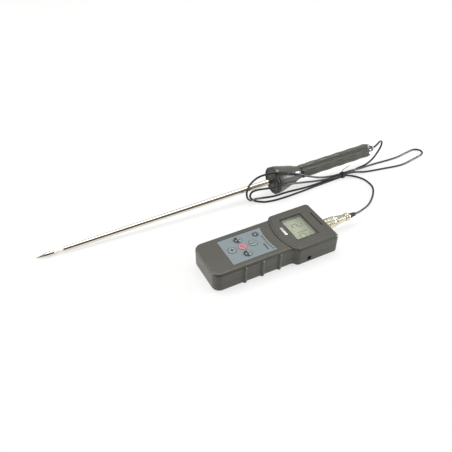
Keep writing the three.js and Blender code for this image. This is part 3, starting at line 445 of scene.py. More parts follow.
# ---- Shape helpers -------------------------------------------------------------------------------
def make(name, points, faces, place, smooth_angle=SMOOTH_ANGLE):
    """A mesh object from points in mm in the frame given by place, with its faces pointing out."""
    mesh = bpy.data.meshes.new(name)
    mesh.from_pydata([place @ Vector(point) for point in points], [], faces)
    work = bmesh.new()
    work.from_mesh(mesh)
    bmesh.ops.recalc_face_normals(work, faces=work.faces)
    work.to_mesh(mesh)
    work.free()
    mesh.shade_smooth()
    mesh.set_sharp_from_angle(angle=math.radians(smooth_angle))
    obj = bpy.data.objects.new(name, mesh)
    bpy.context.scene.collection.objects.link(obj)
    return obj


def settle(obj):
    """Applies obj's modifiers to its mesh."""
    graph = bpy.context.evaluated_depsgraph_get()
    mesh = bpy.data.meshes.new_from_object(obj.evaluated_get(graph))
    obj.modifiers.clear()
    obj.data = mesh


def carve(obj, cutters, operation="DIFFERENCE"):
    """Cuts the cutters out of obj, or with UNION adds them to it, one by one."""
    for cutter in cutters:
        change = obj.modifiers.new("cut", "BOOLEAN")
        change.operation = operation
        change.solver = "EXACT"
        change.object = cutter
        settle(obj)
        bpy.data.objects.remove(cutter)
    obj.data.set_sharp_from_angle(angle=math.radians(SMOOTH_ANGLE))


def weigh_normals(obj):
    """Keeps large flat faces flat beside small round ones."""
    change = obj.modifiers.new("normals", "WEIGHTED_NORMAL")
    change.keep_sharp = True
    settle(obj)


def declare(obj, slot, body=ROOT, replaces=(), look=None):
    """Gives a piece its material, that of look or else of slot, and its body, and hides the CAD nodes that
    it replaces.
    """
    obj.data.materials.clear()
    obj.data.materials.append(MATERIALS[look or slot])
    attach(obj, body)
    if replaces:
        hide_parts(*replaces)
    return obj


def loft(name, rings, place, closed=False, smooth_angle=SMOOTH_ANGLE):
    """Skins rings with equal numbers of points. The ends get a face, or meet each other if it is closed."""
    count = len(rings[0])
    points = [point for one in rings for point in one]
    faces = []
    spans = len(rings) if closed else len(rings) - 1
    for k in range(spans):
        here, there = k * count, ((k + 1) % len(rings)) * count
        for i in range(count):
            j = (i + 1) % count
            faces.append((here + i, here + j, there + j, there + i))
    if not closed:
        faces.append(tuple(range(count)))
        faces.append(tuple(range(len(points) - count, len(points))))
    return make(name, points, faces, place, smooth_angle)


def arc(cx, cy, radius, start, end, steps):
    """Points on an arc, angles in degrees."""
    turns = [math.radians(start + (end - start) * i / steps) for i in range(steps + 1)]
    return [(cx + radius * math.cos(turn), cy + radius * math.sin(turn)) for turn in turns]


def quarter(steps):
    """The angles that divide a quarter turn into equal steps."""
    return [math.pi / 2 * i / steps for i in range(steps + 1)]


def circle(cx, cy, radius, steps=SIDES):
    return arc(cx, cy, radius, 0, 360 * (steps - 1) / steps, steps - 1)


def raised(name, outline, heights, place):
    """Lofts outline(inset) through (inset, z) pairs."""
    return loft(name, [[(x, y, z) for x, y in outline(inset)] for inset, z in heights], place)


def slab(name, outline, z0, z1, place, edge):
    """A flat piece with rounded rims."""
    turns = quarter(4)
    low = [(edge * (1 - math.sin(turn)), z0 + edge * (1 - math.cos(turn))) for turn in turns]
    high = [(edge * (1 - math.cos(turn)), z1 - edge * (1 - math.sin(turn))) for turn in turns]
    return raised(name, outline, low + high, place)


def well(outline, floor, top, lip, place):
    """A cutter for a sunk shape whose upper rim is softened by lip."""
    rim = [(-lip * (1 - math.cos(turn)), top - lip * (1 - math.sin(turn))) for turn in quarter(4)]
    return raised("well", outline, [(0, floor)] + rim + [(-lip, top + 1)], place)


def rounded_box(cx, cy, size_x, size_y, radius, steps=6):
    """An outline function for a rounded rectangle."""
    def outline(inset):
        half_x, half_y = size_x / 2 - inset - radius, size_y / 2 - inset - radius
        corners = ((1, 1, 0), (-1, 1, 90), (-1, -1, 180), (1, -1, 270))
        points = []
        for sign_x, sign_y, start in corners:
            points += arc(cx + sign_x * half_x, cy + sign_y * half_y, radius, start, start + 90, steps)
        return points
    return outline


def soften(profile, radius):
    """Rounds the corners of a profile with short curves."""
    done = [profile[0]]
    for before, corner, after in zip(profile, profile[1:], profile[2:]):
        a, b, c = Vector(before), Vector(corner), Vector(after)
        back, forth = a - b, c - b
        shortest = min(back.length, forth.length)
        if shortest < TINY or back.angle(forth) > math.radians(STRAIGHT_ANGLE):
            done.append(corner)
            continue
        reach = min(radius, back.length * 0.45, forth.length * 0.45)
        start, end = b + back.normalized() * reach, b + forth.normalized() * reach
        for share in (0, 0.25, 0.5, 0.75, 1):
            done.append(tuple(start.lerp(b, share).lerp(b.lerp(end, share), share)))
    done.append(profile[-1])
    return done


def spin(profile, sides, shape=None):
    """Rings about the X axis through (radius, station) points. shape(station, turn) scales the radius."""
    rings = []
    for reach, station in profile:
        ring = []
        for i in range(sides):
            turn = 2 * math.pi * i / sides
            r = reach * shape(station, turn) if shape else reach
            ring.append((station, r * math.cos(turn), r * math.sin(turn)))
        rings.append(ring)
    return rings


def turned(name, profile, place, sides=64, radius=0.25):
    """A solid turned about the X axis, its corners rounded by radius."""
    return loft(name, spin(soften(profile, radius), sides), place)


def tube(name, profile, place, sides=64, radius=0.2, shape=None):
    """As turned, for a profile that closes on itself and leaves a bore."""
    closed = soften(profile + profile[:1], radius)[:-1]
    return loft(name, spin(closed, sides, shape), place, closed=True)


UPRIGHT = Matrix.Rotation(-math.pi / 2, 4, "Y")  # turns a piece made about +X to stand along +Z


def column(cx, cy, radius, z0, z1):
    """A round cutter that stands in the meter's frame."""
    return raised("column", lambda inset: circle(cx, cy, radius - inset), [(0, z0), (0, z1)], METER)


def box_cutter(x0, x1, y0, y1, z0, z1):
    """A square cutter in the meter's frame."""
    points = [(x, y, z) for z in (z0, z1) for x, y in ((x0, y0), (x1, y0), (x1, y1), (x0, y1))]
    faces = [(0, 1, 2, 3), (4, 5, 6, 7), (0, 1, 5, 4), (1, 2, 6, 5), (2, 3, 7, 6), (3, 0, 4, 7)]
    return make("box", points, faces, METER)


class Print:
    """Flat printed shapes gathered into one thin mesh on a surface at the height ground."""

    def __init__(self, ground, thickness=INK):
        self.levels = (ground - INK_ROOT, ground + thickness)
        self.points = []
        self.faces = []

    def shape(self, outline):
        start, count = len(self.points), len(outline)
        for z in self.levels:
            self.points += [(x, y, z) for x, y in outline]
        low = tuple(range(start, start + count))
        self.faces += [low, tuple(i + count for i in low)]
        for i in range(count):
            j = (i + 1) % count
            self.faces.append((start + i, start + j, start + count + j, start + count + i))

    def band(self, outer, inner):
        start, count = len(self.points), len(outer)
        low, high = self.levels
        for outline, z in ((outer, low), (inner, low), (inner, high), (outer, high)):
            self.points += [(x, y, z) for x, y in outline]
        for k in range(4):
            here, there = start + k * count, start + (k + 1) % 4 * count
            for i in range(count):
                j = (i + 1) % count
                self.faces.append((here + i, here + j, there + j, there + i))

    def ring(self, cx, cy, radius, width):
        self.band(circle(cx, cy, radius), circle(cx, cy, radius - width))

    def bar(self, x0, y0, x1, y1, width, point=0.2):
        """A straight stroke from one end to the other. Its ends taper over point widths."""
        start, end = Vector((x0, y0)), Vector((x1, y1))
        along = (end - start).normalized() * width
        side = Vector((-along.y, along.x)) / 2
        near, far = start + along * point, end - along * point
        self.shape([tuple(p) for p in (start, near - side, far - side, end, far + side, near + side)])

    def finish(self, name):
        return make(name, self.points, self.faces, METER)


# ---- Case ----------------------------------------------------------------------------------------
def bezier(a, b, c, d, steps):
    points = []
    for i in range(steps + 1):
        t = i / steps
        u = 1 - t
        points.append(tuple(u ** 3 * p + 3 * u * u * t * q + 3 * u * t * t * r + t ** 3 * s
                            for p, q, r, s in zip(a, b, c, d)))
    return points


def case_outline(inset):
    grip, head = GRIP_WIDTH / 2 - inset, HEAD_WIDTH / 2 - inset
    end = CASE_LENGTH - inset
    foot = max(FOOT_RADIUS - inset, 1)
    corner = max(HEAD_RADIUS - inset, 1)
    narrow = WAIST_START + inset / 2
    wide = narrow + WAIST_LENGTH
    pull = WAIST_LENGTH * WAIST_PULL
    near = bezier((narrow, -grip), (narrow + pull, -grip), (wide - pull, -head), (wide, -head), 14)
    points = [(inset + foot, -grip)] + near
    points += arc(end - corner, -head + corner, corner, -90, 0, 10)
    points += arc(end - corner, head - corner, corner, 0, 90, 10)
    points += [(x, -y) for x, y in reversed(near)]
    points += arc(inset + foot, grip - foot, foot, 90, 180, 14)
    points += arc(inset + foot, -grip + foot, foot, 180, 270, 14)[:-1]
    return points


def grip_ribs(low, high):
    """The round-topped finger ribs down both sides of the grip, between two heights."""
    radius = GRIP_RIB_RADIUS
    profile = [(radius, low), (radius, high), (AXIS, high)]
    if high == GRIP_RIB_TOP:
        profile = [(radius, low)] + arc(0, high - radius, radius, 0, 89.8, 12)
    offset = GRIP_WIDTH / 2 + GRIP_RIB_PROUD - radius
    for x in GRIP_RIB_X:
        for y in (-offset, offset):
            yield turned("rib", profile, METER @ Matrix.Translation((x, y, 0)) @ UPRIGHT, SIDES, 0)


def port_hole():
    """The cutter for the connector's hole through the end wall."""
    return turned("port", [(PORT_HOLE, -9), (PORT_HOLE, 2)], PORT, SIDES, 0)


def socket_frame():
    """The side socket's axis, with X outwards through the far side of the head."""
    return METER @ Matrix.Translation((SOCKET_X, 0, SOCKET_Z)) @ Matrix.Rotation(-math.pi / 2, 4, "Z")


def label_outline(inset):
    half = LABEL_WIDTH / 2 - inset
    radius = LABEL_ARC + inset
    sweep = math.degrees(math.asin(half / radius))
    start = LABEL_START + inset
    return [(start, half), (start, -half)] + arc(ARC_CENTER_X, 0, radius, 180 + sweep, 180 - sweep, 20)


def groove_outline(radius, width):
    """An arc round the head that runs out over both sides."""
    def outline(inset):
        outer, inner = radius + width / 2 - inset, radius - width / 2 + inset
        sweep = math.degrees(math.asin(HEAD_WIDTH / 2 / (radius - width / 2))) - inset
        return (arc(ARC_CENTER_X, 0, outer, 180 - sweep, 180 + sweep, 40)
                + arc(ARC_CENTER_X, 0, inner, 180 + sweep, 180 - sweep, 40))
    return outline


def key_place(name):
    i, j = KEYS[name]
    return KEYPAD_CENTER[0] + i * KEY_PITCH[0], KEYPAD_CENTER[1] + j * KEY_PITCH[1]


def upper_shell():
    top, seam, ceiling = CASE_HEIGHT, SEAM_HEIGHT + SEAM_GAP / 2, CASE_HEIGHT - WALL
    edge = [(TOP_EDGE * (1 - math.cos(turn)), top - TOP_EDGE * (1 - math.sin(turn))) for turn in quarter(10)]
    shell = raised("case_top", case_outline, [(SEAM_EDGE, seam), (0, seam + SEAM_EDGE)] + edge, METER)
    slot_y = (SLOT_Y[0] + SLOT_Y[1]) / 2
    slot = rounded_box(SLOT_X, slot_y, SLOT_WIDTH, SLOT_Y[1] - SLOT_Y[0], SLOT_WIDTH / 2 - 0.05)
    badge_hole = rounded_box(*BADGE_CENTER, BADGE_SIZE[0] + GAP, BADGE_SIZE[1] + GAP, 1.6)
    cutters = [
        raised("hollow", lambda inset: case_outline(WALL + inset), [(0, seam - 3), (0, ceiling)], METER),
        well(label_outline, top - LABEL_RECESS, top, 0.3, METER),
        well(groove_outline(GROOVE_ARC, GROOVE_WIDTH), top - GROOVE_DEPTH, top, 0.5, METER),
        well(groove_outline(SHOULDER_ARC, SHOULDER_WIDTH), top - SHOULDER_DEPTH, top, 0.35, METER),
        well(rounded_box(*WINDOW_CENTER, *WINDOW_SIZE, 1.2), ceiling - 1, top, 0.5, METER),
        well(badge_hole, top - BADGE_RECESS, top, 0.15, METER),
        well(slot, top - SLOT_DEPTH, top, 0.3, METER),
        port_hole(),
    ]
    cutters += [column(*key_place(name), KEY_RADIUS + GAP, ceiling - 2, top + 1) for name in KEYS]
    carve(shell, grip_ribs(seam, GRIP_RIB_TOP), operation="UNION")
    carve(shell, cutters)
    weigh_normals(shell)
    declare(shell, "case_plastic", replaces=["upper_shell"])


def lower_shell():
    seam = SEAM_HEIGHT - SEAM_GAP / 2
    edge = [(BOTTOM_EDGE * (1 - math.sin(turn)), BOTTOM_EDGE * (1 - math.cos(turn))) for turn in quarter(6)]
    shell = raised("case_base", case_outline, edge + [(0, seam - SEAM_EDGE), (SEAM_EDGE, seam)], METER)
    half = COVER_HALF + GAP
    lip = half + COVER_LIP
    end = COVER_END + GAP
    cutters = [
        raised("hollow", lambda inset: case_outline(LOWER_WALL + inset), [(0, FLOOR), (0, seam + 3)], METER),
        box_cutter(-5, end, -half, half, -1, 1),
        box_cutter(-5, end, -lip, lip, 1, COVER_LIP_TOP + GAP),
        box_cutter(*BAY_X, -BAY_HALF, BAY_HALF, 0.5, FLOOR + 1),
        turned("socket", [(SOCKET_HOLE, 0), (SOCKET_HOLE, HEAD_WIDTH)], socket_frame(), SIDES, 0),
        port_hole(),
    ]
    cutters += [column(x, y, 3.1, -1, 2.5) for x, y in SCREWS]
    carve(shell, grip_ribs(GRIP_RIB_FOOT, seam), operation="UNION")
    carve(shell, cutters)
    weigh_normals(shell)
    declare(shell, "case_plastic", replaces=["lower_shell"])
    for name, x in BAY_RIBS:
        rib = rounded_box(x, 0, 1.6, 2 * BAY_HALF, 0.3, 3)
        declare(slab(name, rib, FLOOR - 0.2, 12, METER, 0.2), "case_plastic")


def battery_cover():
    """The sliding cover, ribbed where the thumb pushes it."""
    def outline(inset):
        points = [(x, max(min(y, COVER_HALF), -COVER_HALF)) for x, y in case_outline(inset)]
        return [(min(x, COVER_END - inset), y) for x, y in points]
    heights = [(1.7, 0.3), (1.2, 0.6), (0.5, 2.2), (0.6, COVER_LIP_TOP)]
    cover = raised("battery_cover_skin", outline, heights, METER)
    starts = [COVER_RIDGE_START + COVER_RIDGE_PITCH * i for i in range(COVER_RIDGES)]
    carve(cover, [box_cutter(x, x + COVER_RIDGE_PITCH / 2, -9, 9, -1, 0.8) for x in starts])
    declare(cover, "case_plastic", "battery_cover_body", replaces=["battery_cover"])


# ---- Keypad --------------------------------------------------------------------------------------
def keypad_label():
    sheet = slab("label_sheet", lambda inset: label_outline(GAP + inset), 25.5, LABEL_TOP, METER, 0.12)
    carve(sheet, [column(*key_place(name), KEY_RADIUS + GAP - 0.05, 20, 30) for name in KEYS])
    weigh_normals(sheet)
    declare(sheet, "label_print", replaces=["keypad_label"])
    marks = Print(LABEL_TOP)
    for i in range(DASHES):
        y = DASH_FIRST_Y - DASH_SPAN * i / (DASHES - 1)
        x = ARC_CENTER_X - math.sqrt(DASH_ARC ** 2 - y * y)
        marks.bar(x - 1.2, y + DASH_LEAN, x + 1.2, y - DASH_LEAN, 1.6)
    for i in range(SHORT_DASHES):
        y = SHORT_DASH_FIRST_Y - SHORT_DASH_PITCH * i
        marks.bar(74.8, y, 77.2, y, 1.45)
    marks.shape(circle(*MARK_CENTER, 4.5))
    declare(marks.finish("label_marks"), "label_print", look="ink_black")
    pale = Print(LABEL_TOP, OVERPRINT)
    x, y = MARK_CENTER
    pale.ring(x, y, 3.9, 0.3)
    pale.shape(arc(x - 0.5, y, 1.2, 75, 285, 20) + [(x + 2.1, y)])
    pale.bar(82, 16.8, 83.6, 16.8, 1.0)
    declare(pale.finish("label_pale_marks"), "label_print", look="ink_faint")


def key_cap(name):
    x, y = key_place(name)
    profile = [(AXIS, 18.7), (2.4, 18.7), (2.4, 22.3), (6, 22.3), (6, 23.2), (KEY_RADIUS, 23.2),
               (KEY_RADIUS, KEY_TOP), (AXIS, KEY_TOP)]
    cap = turned(name + "_cap", profile, METER @ Matrix.Translation((x, y, 0)) @ UPRIGHT, 64, 0.3)
    body = name + "_body"
    slot = "key_red" if name == "power_key" else "key_grey"
    declare(cap, slot, body, replaces=[name])
    prints = {look: Print(KEY_TOP, OVERPRINT if look == "ink_pale" else INK) for look in KEY_INKS}
    draw_symbol(name, x, y, *prints.values())
    for look, marks in prints.items():
        if marks.points:
            declare(marks.finish(f"{name}_{look}"), slot, body, look=look)


def draw_symbol(name, x, y, black, grey, red, pale):
    """The generic figures on the keys. The arrow keys share one figure: half dark, half open."""
    if name == "power_key":
        red.ring(x, y, 5, 0.5)
        red.shape(circle(x, y, 3.1))
        pale.band(arc(x, y, 2, 40, 320, 24), arc(x, y, 1.5, 40, 320, 24))
        pale.bar(x + 0.2, y, x + 2.6, y, 0.5)
        return
    black.ring(x, y, 5, 0.4)
    if name == "menu_key":
        black.bar(x - 2.9, y, x + 2.9, y, 1.2)
        black.bar(x, y - 2.6, x, y + 2.6, 1.2)
    elif name == "light_key":
        grey.band(arc(x + 0.5, y, 2.3, 20, 340, 24), arc(x + 0.5, y, 1.5, 20, 340, 24))
        black.bar(x - 2, y - 1, x - 2, y + 1, 0.75)
        black.bar(x - 2.9, y - 0.7, x - 2.9, y + 0.7, 0.65)
        black.bar(x + 0.4, y, x + 1.8, y, 0.7)
    else:
        black.shape(arc(x - 0.2, y, 4.7, 90, 270, 24))
        pale.shape(arc(x - 1.6, y, 1.3, 90, 270, 16))
        black.bar(x, y - 4.7, x, y + 4.7, 0.9)
        black.shape(circle(x + 2.3, y, 0.95, 20))


# ---- Display -------------------------------------------------------------------------------------
SEGMENTS = {"1": "bc", "2": "abged"}


def digit(prints, figure, x0, x1, y0, y1):
    """A seven-segment figure whose top is towards +X; y0 is its left side and y1 its right."""
    middle = (x0 + x1) / 2
    ends = {
        "a": (x1, y0, x1, y1), "b": (x1, y1, middle, y1), "c": (middle, y1, x0, y1), "d": (x0, y1, x0, y0),
        "e": (x0, y0, middle, y0), "g": (middle, y0, middle, y1),
    }
    for letter in SEGMENTS[figure]:
        ax, ay, bx, by = ends[letter]
        ay -= DIGIT_LEAN * (ax - x0)
        by -= DIGIT_LEAN * (bx - x0)
        prints.bar(ax, ay, bx, by, DIGIT_STROKE, 0.5)


def display():
    lens_top = CASE_HEIGHT - WALL - GAP
    lens_box = (WINDOW_SIZE[0] + 4, WINDOW_SIZE[1] + 4)
    pane = 2 + GAP
    heights = [(0, lens_top - 1), (0, lens_top)]
    heights += [(pane, lens_top), (pane, PANE_TOP - 0.2), (pane + 0.2, PANE_TOP)]
    outline = rounded_box(*WINDOW_CENTER, *lens_box, 0.8)
    lens = raised("lens_sheet", outline, heights, METER)
    declare(lens, "lens_clear", replaces=["display_lens"])
    border = Print(PANE_TOP, BORDER_INK)
    border.band(outline(pane + 0.2), outline(pane + 1.5))
    declare(border.finish("lens_border"), "lens_clear", look="ink_black")
    panel_top = lens_top - 1 - GAP
    cell = rounded_box(*WINDOW_CENTER, lens_box[0] - 2, lens_box[1] - 2, 0.4)
    panel = slab("display_cell", cell, panel_top - 2.4, panel_top, METER, 0.08)
    declare(panel, "display_grey", replaces=["display_panel"])
    figures = Print(panel_top, FIGURE_INK)
    for figure, left, right in DIGITS:
        digit(figures, figure, *DIGIT_X, left, right)
    declare(figures.finish("display_figures"), "display_grey", look="display_ink")


def badge():
    z = CASE_HEIGHT - 0.3
    plate = slab("badge_bar", rounded_box(*BADGE_CENTER, *BADGE_SIZE, 1.5), z, z + 0.6, METER, 0.25)
    declare(plate, "badge_silver", replaces=["badge_plate"])


def side_socket():
    outer = HEAD_WIDTH / 2 - 0.9
    back = outer - 9
    step = outer - 3.5
    barrel = [(1.75, back), (4.2, back), (4.2, step), (2.7, step), (2.7, outer), (1.75, outer)]
    declare(tube("socket_barrel", barrel, socket_frame(), SIDES), "socket_black", replaces=["power_socket"])
    pin = [(AXIS, back), (0.6, back), (0.6, outer - 2), (AXIS, outer - 1.6)]
    declare(turned("socket_pin", pin, socket_frame(), 24), "screw_steel")


# ---- Bayonet connector ---------------------------------------------------------------------------
def flutes(count, depth, start, end):
    """Rounded grip flutes between two stations, for tube()."""
    def shape(station, turn):
        inside = start < station < end
        return 1 - depth * (0.5 + 0.5 * math.cos(count * turn)) if inside else 1
    return shape


def connector():
    jack = [(2.6, -13), (4.6, -13), (4.6, 0.3), (6.4, 0.3), (6.4, 2), (4.8, 2), (4.8, 12.4)]
    jack += [(4.1, 12.4), (4.1, 4), (2.6, 4)]
    declare(tube("jack_shell", jack, PORT), "connector_nickel", replaces=["jack_body"])
    collar = [(5.1, 2.6), (6.7, 2.6), (7.3, 3.4), (7.3, 7.2), (6.8, 7.6), (6.8, 8.2)]
    collar += [(7.25, 8.6 + 0.8 * i) for i in range(COLLAR_RINGS)]
    collar += [(6.8, 16.4), (6.8, 16.9), (7.3, 17.2), (7, 18), (4.8, 18), (4.8, 15.7)]
    collar += [(6.2, 15.7), (6.2, 4.9), (5.1, 4.9)]
    grooves = flutes(COLLAR_FLUTES, 0.02, 8.3, 16.1)
    sleeve = tube("collar_ring", collar, PORT, COLLAR_SIDES, 0.12, grooves)
    declare(sleeve, "connector_nickel", "plug_collar_body", replaces=["plug_collar"])
    shroud = [(3.9, 18.6), (6.2, 18.6), (6.2, 19.6), (5.5, 20), (5.5, 20.6), (6, 21), (5.9, 23.4)]
    shroud += [(5, 31), (4.7, 34.7), (3.9, 34.7)]
    declare(tube("shroud_cone", shroud, PORT), "connector_nickel", replaces=["plug_shroud"])
    nut = [(1.7, 35), (5, 35), (5.2, 35.4), (5.2, 36.9), (4.6, 37.2), (4.6, 37.9), (5.2, 38.2)]
    nut += [(5.2, 40.6), (4.8, 41.3), (1.7, 41.3)]
    declare(tube("clamp_ring", nut, PORT, 96, 0.12), "connector_nickel", replaces=["plug_clamp_nut"])
    boot = [(AXIS, 41.6), (3.3, 41.6), (3.3, 44.6)]
    for i in range(BOOT_RINGS):
        x, r = 44.8 + 2.2 * i, 3.1 - 0.27 * i
        boot += [(r - 0.35, x), (r - 0.35, x + 0.6), (r, x + 0.8), (r - 0.1, x + 2)]
    boot += [(2.3, 52), (AXIS, 52)]
    declare(turned("boot_sleeve", boot, PORT, SIDES, 0.1), "rubber_black", replaces=["plug_boot"])


# ---- Probe ---------------------------------------------------------------------------------------
GUARD_START = GUARD_X + GUARD_PLATE + GAP
GUARD_END = GUARD_START + GUARD_LENGTH
GRIP_START = GUARD_END + 2 * GAP + 1.6
GRIP_END = GRIP_START + GRIP_LENGTH


def spear():
    tip = [(0.3, 0), (TIP_RADIUS, TIP_CONE), (TIP_RADIUS, TIP_LENGTH), (AXIS, TIP_LENGTH)]
    declare(turned("tip_point", tip, PROBE), "probe_steel", replaces=["probe_tip"])
    start = TIP_LENGTH + GAP
    end = start + INSULATOR_LENGTH
    collar = [(1.3, start), (TIP_RADIUS, start), (TIP_RADIUS + 0.1, end), (1.3, end)]
    declare(tube("tip_collar", collar, PROBE), "insulator_white", replaces=["tip_insulator"])
    start = end + GAP
    end = GRIP_START + 35
    rod = [(1.9, start), (3.2, start), (4, GUARD_X - 12), (4, end), (1.9, end)]
    declare(tube("rod_sleeve", rod, PROBE), "probe_steel", replaces=["probe_tube"])


def guard():
    bore, rim, neck = 4.3, GUARD_RADIUS, NECK_RADIUS
    x = GUARD_X
    face = [(bore, x + 0.6), (7.6, x + 0.6), (8.2, x + 1.8), (15.6, x + 1.8), (16.4, x)]
    face += [(rim - 1, x), (rim, x + 1), (rim, x + 3), (rim - 0.7, x + 4), (bore, x + 4)]
    plate = tube("guard_face", face, PROBE, 96, 0.5)
    # the face plate is handle plastic, given painted shade in place of its own colour
    declare(plate, "handle_plastic", replaces=["guard_plate"], look="guard_painted_shade")
    s, e = GUARD_START, GUARD_END
    bell = [(bore, s), (rim - 0.7, s), (rim, s + 0.8), (rim, s + 3.5), (rim - 0.7, s + 7.5)]
    bell += [(rim - 2.6, s + 14), (neck + 3.6, e - 11), (neck + 1.6, e - 5.6)]
    bell += [(neck + 0.2, e - 2.2), (neck, e - 0.2), (neck - 0.4, e), (bore, e)]
    declare(tube("guard_cone", bell, PROBE, 96, 1.4), "handle_plastic", replaces=["guard_bell"])
    s, e = e + GAP, e + GAP + 1.6
    ring = [(bore, s), (8.8, s), (8.8, e), (bore, e)]
    declare(tube("neck_washer", ring, PROBE), "rubber_black", replaces=["neck_ring"])


def grip():
    """Rounded lobes with shallow finger waves along them."""
    def section(station):
        from_start, to_end = station - GRIP_START, GRIP_END - station
        shoulder = 1.5 * max(0, 1 - from_start / 3) ** 2 + 2.2 * max(0, 1 - to_end / 6) ** 2
        wave = 0.5 - 0.5 * math.cos(2 * math.pi * from_start / WAVE_LENGTH)

        def radius(_, turn):
            flute = (0.5 + 0.5 * math.cos(GRIP_LOBES * turn)) ** 2.5
            return GRIP_RADIUS - shoulder - FLUTE_DEPTH * flute - WAVE_DEPTH * wave * (1 - flute)
        return spin([(1, station)], GRIP_SIDES, radius)[0]

    steps = 96
    rings = [section(GRIP_START + GRIP_LENGTH * i / steps) for i in range(steps + 1)]
    rings += spin([(6.2, GRIP_END - GAP), (6.2, GRIP_END - 5)], GRIP_SIDES)
    handle = loft("grip_handle", rings, PROBE, smooth_angle=60)
    declare(handle, "handle_plastic", replaces=["grip_sleeve"])
    gland = [(AXIS, GRIP_END - 5.6), (6.1, GRIP_END - 5.6), (6.1, GRIP_END - 0.6), (4.6, GRIP_END + 0.3)]
    gland += [(4.2, GRIP_END + 1.4), (4.4, GRIP_END + 2), (4, GRIP_END + 5.3), (AXIS, GRIP_END + 5.3)]
    declare(turned("gland_nub", gland, PROBE, SIDES), "rubber_black", replaces=["cord_gland"])
    start = GRIP_END + 5.6
    ferrule = [(AXIS, start), (2.3, start), (2.3, start + 2.2), (AXIS, start + 2.2)]
    declare(turned("ferrule_ring", ferrule, PROBE, SIDES), "connector_nickel", replaces=["gland_ferrule"])


# ---- Cord ----------------------------------------------------------------------------------------
def smooth_curve(name, points, radius, place):
    """A curve through the points, with handles that follow the spacing of the points."""
    data = bpy.data.curves.new(name, "CURVE")
    data.dimensions = "3D"
    data.bevel_depth = radius * MM
    data.bevel_resolution = 4
    data.resolution_u = 8
    data.use_fill_caps = True
    spline = data.splines.new("BEZIER")
    spline.bezier_points.add(len(points) - 1)
    spots = [place @ Vector(point) for point in points]
    for i, knot in enumerate(spline.bezier_points):
        here = spots[i]
        before, after = spots[max(i - 1, 0)], spots[min(i + 1, len(spots) - 1)]
        reach = (after - here).length + (here - before).length
        along = (after - before) / reach
        knot.co = here
        knot.handle_left = here - along * (here - before).length / 3
        knot.handle_right = here + along * (after - here).length / 3
    obj = bpy.data.objects.new(name, data)
    bpy.context.scene.collection.objects.link(obj)
    return obj


def length_of(points):
    return sum((Vector(b) - Vector(a)).length for a, b in zip(points, points[1:]))


def twist_tie():
    """A flat band round the four strands, with its two ends twisted together beside it."""
    x, y, z = TIE
    half, wall = 3.25, 0.55
    outline = rounded_box(y, z, 2 * half, 2 * half, 1.5)
    rings = []
    for station, inset in ((-2.5, 0), (-2.3, -wall), (2.3, -wall), (2.5, 0)):
        rings.append([(x + station, a, b) for a, b in outline(inset)])
    band = loft("tie_band", rings, WORLD, closed=True)
    declare(band, "tie_black", replaces=["cord_tie"])
    pieces = [band]
    for name, route in TIE_TAILS.items():
        tail = smooth_curve(name, [Vector(TIE) + Vector(step) for step in route], 0.4, WORLD)
        pieces.append(declare(tail, "tie_black"))
    return pieces


def cord():
    tie = twist_tie()
    route = CORD_ROUTE[::-1]
    line = smooth_curve("cord_line", route, CORD_RADIUS, WORLD)
    declare(line, "cord_black", replaces=["cord_cable"])
    skins = ("boot_sleeve", "clamp_ring", "shroud_cone", "collar_ring")
    on_cord = [bpy.data.objects[name] for name in skins]
    on_cord += [frame["nodes"][name] for name in ("plug_body", "plug_gasket", "plug_insulator", "plug_pin")]
    tuple(WORLD @ Vector(route[0]))
    length_of(route) * MM


# ---- Stage ---------------------------------------------------------------------------------------
def paint_nodes():
    """The CAD nodes that still show, inside the case and the connector, get the same materials."""
    slots = {entry["node"]: entry["material_slot"] for entry in frame["record"]["subparts"]}
    for name, node in frame["nodes"].items():
        node.data.materials.clear()
        node.data.materials.append(MATERIALS[slots[name]])


def floor():
    """A pale table, a tenth of a millimetre below the object so that the two never coincide."""
    mesh = bpy.data.meshes.new("table_top")
    half, z = 15, -0.1 * MM
    corners = [(-half, -half, z), (half, -half, z), (half, half, z), (-half, half, z)]
    mesh.from_pydata(corners, [], [(0, 1, 2, 3)])
    obj = bpy.data.objects.new("table_top", mesh)
    bpy.context.scene.collection.objects.link(obj)
    n = Nodes("table_white")
    n.color(n.noise(30), (0.3, (0.24, 0.24, 0.24, 1)), (0.7, (0.26, 0.26, 0.26, 1)))
    n.socket("Roughness").default_value = 0.8
    n.socket("Specular IOR Level").default_value = 0.0
    n.socket("Emission Color").default_value = (1, 1, 1, 1)
    n.socket("Emission Strength").default_value = 0.7
    mesh.materials.append(n.material)


LIGHTS = {  # place, aim, size, watts and colour
    "left_box": ((-1.35, 0.45, 0.6), (0, 0, 0), (1.2, 0.9), 15, (1, 0.98, 0.94)),
    "right_box": ((1, -1.1, 0.9), (0, 0, 0), (0.9, 0.9), 1.5, (0.92, 0.96, 1)),
    "crease_box": ((1.3, -0.45, 0.33), (0.1, 0, 0), (0.3, 0.5), 21, (1, 1, 1)),
    "top_box": ((0.1, 0.5, 1.6), (0, 0, 0), (1.6, 1), 21, (1, 0.99, 0.95)),
}
DARK_SIDE = (-0.5, -0.86, 0)  # the side of the studio that the camera looks from


def area_light(name, spot, target, size, power, color):
    data = bpy.data.lights.new(name, "AREA")
    data.shape = "RECTANGLE"
    data.size, data.size_y = size
    data.energy = power
    data.color = color
    obj = bpy.data.objects.new(name, data)
    obj.location = spot
    obj.rotation_euler = (Vector(target) - Vector(spot)).to_track_quat("-Z", "Y").to_euler()
    bpy.context.scene.collection.objects.link(obj)


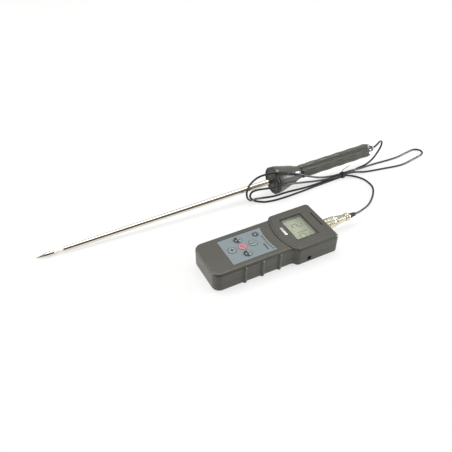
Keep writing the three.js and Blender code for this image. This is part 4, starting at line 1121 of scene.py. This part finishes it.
def light():
    """A studio world, white but for its dark side, and the soft boxes."""
    world = bpy.data.worlds.new("studio")
    bpy.context.scene.world = world
    world.use_nodes = True
    tree = world.node_tree
    background = tree.nodes["Background"]
    place = tree.nodes.new("ShaderNodeTexCoord")
    dot = tree.nodes.new("ShaderNodeVectorMath")
    dot.operation = "DOT_PRODUCT"
    dot.inputs[1].default_value = Vector(DARK_SIDE).normalized()
    ramp = tree.nodes.new("ShaderNodeValToRGB")
    ramp.color_ramp.elements[0].position = 0.0
    ramp.color_ramp.elements[0].color = (1, 1, 1, 1)
    ramp.color_ramp.elements[1].position = 0.85
    ramp.color_ramp.elements[1].color = (0.08, 0.08, 0.07, 1)
    tree.links.new(place.outputs["Generated"], dot.inputs[0])
    tree.links.new(dot.outputs["Value"], ramp.inputs["Fac"])
    tree.links.new(ramp.outputs["Color"], background.inputs["Color"])
    background.inputs["Strength"].default_value = 0.5
    for name, settings in LIGHTS.items():
        area_light(name, *settings)


CAMERA_SPOT = (-0.2486, -0.4326, 0.4429)
CAMERA_ANGLES = (49.33, -27.23, -0.14)  # pitch up from straight down, yaw and roll, in degrees
CAMERA_LENS = 41.59
CAMERA_SHIFT = -0.001


def camera():
    data = bpy.data.cameras.new("camera")
    data.sensor_width = 36
    data.lens = CAMERA_LENS
    data.clip_start = 0.01
    data.shift_y = CAMERA_SHIFT
    obj = bpy.data.objects.new("camera", data)
    obj.location = CAMERA_SPOT
    pitch, yaw, roll = (math.radians(angle) for angle in CAMERA_ANGLES)
    obj.rotation_euler = (Matrix.Rotation(yaw, 3, "Z") @ Matrix.Rotation(pitch, 3, "X")
                          @ Matrix.Rotation(roll, 3, "Z")).to_euler()
    bpy.context.scene.collection.objects.link(obj)
    bpy.context.scene.camera = obj


camera()
light()
floor()
paint_nodes()
upper_shell()
lower_shell()
battery_cover()
keypad_label()
for key in KEYS:
    key_cap(key)
display()
badge()
side_socket()
connector()
spear()
guard()
grip()
cord()
bpy.context.scene.view_settings.view_transform = "Standard"
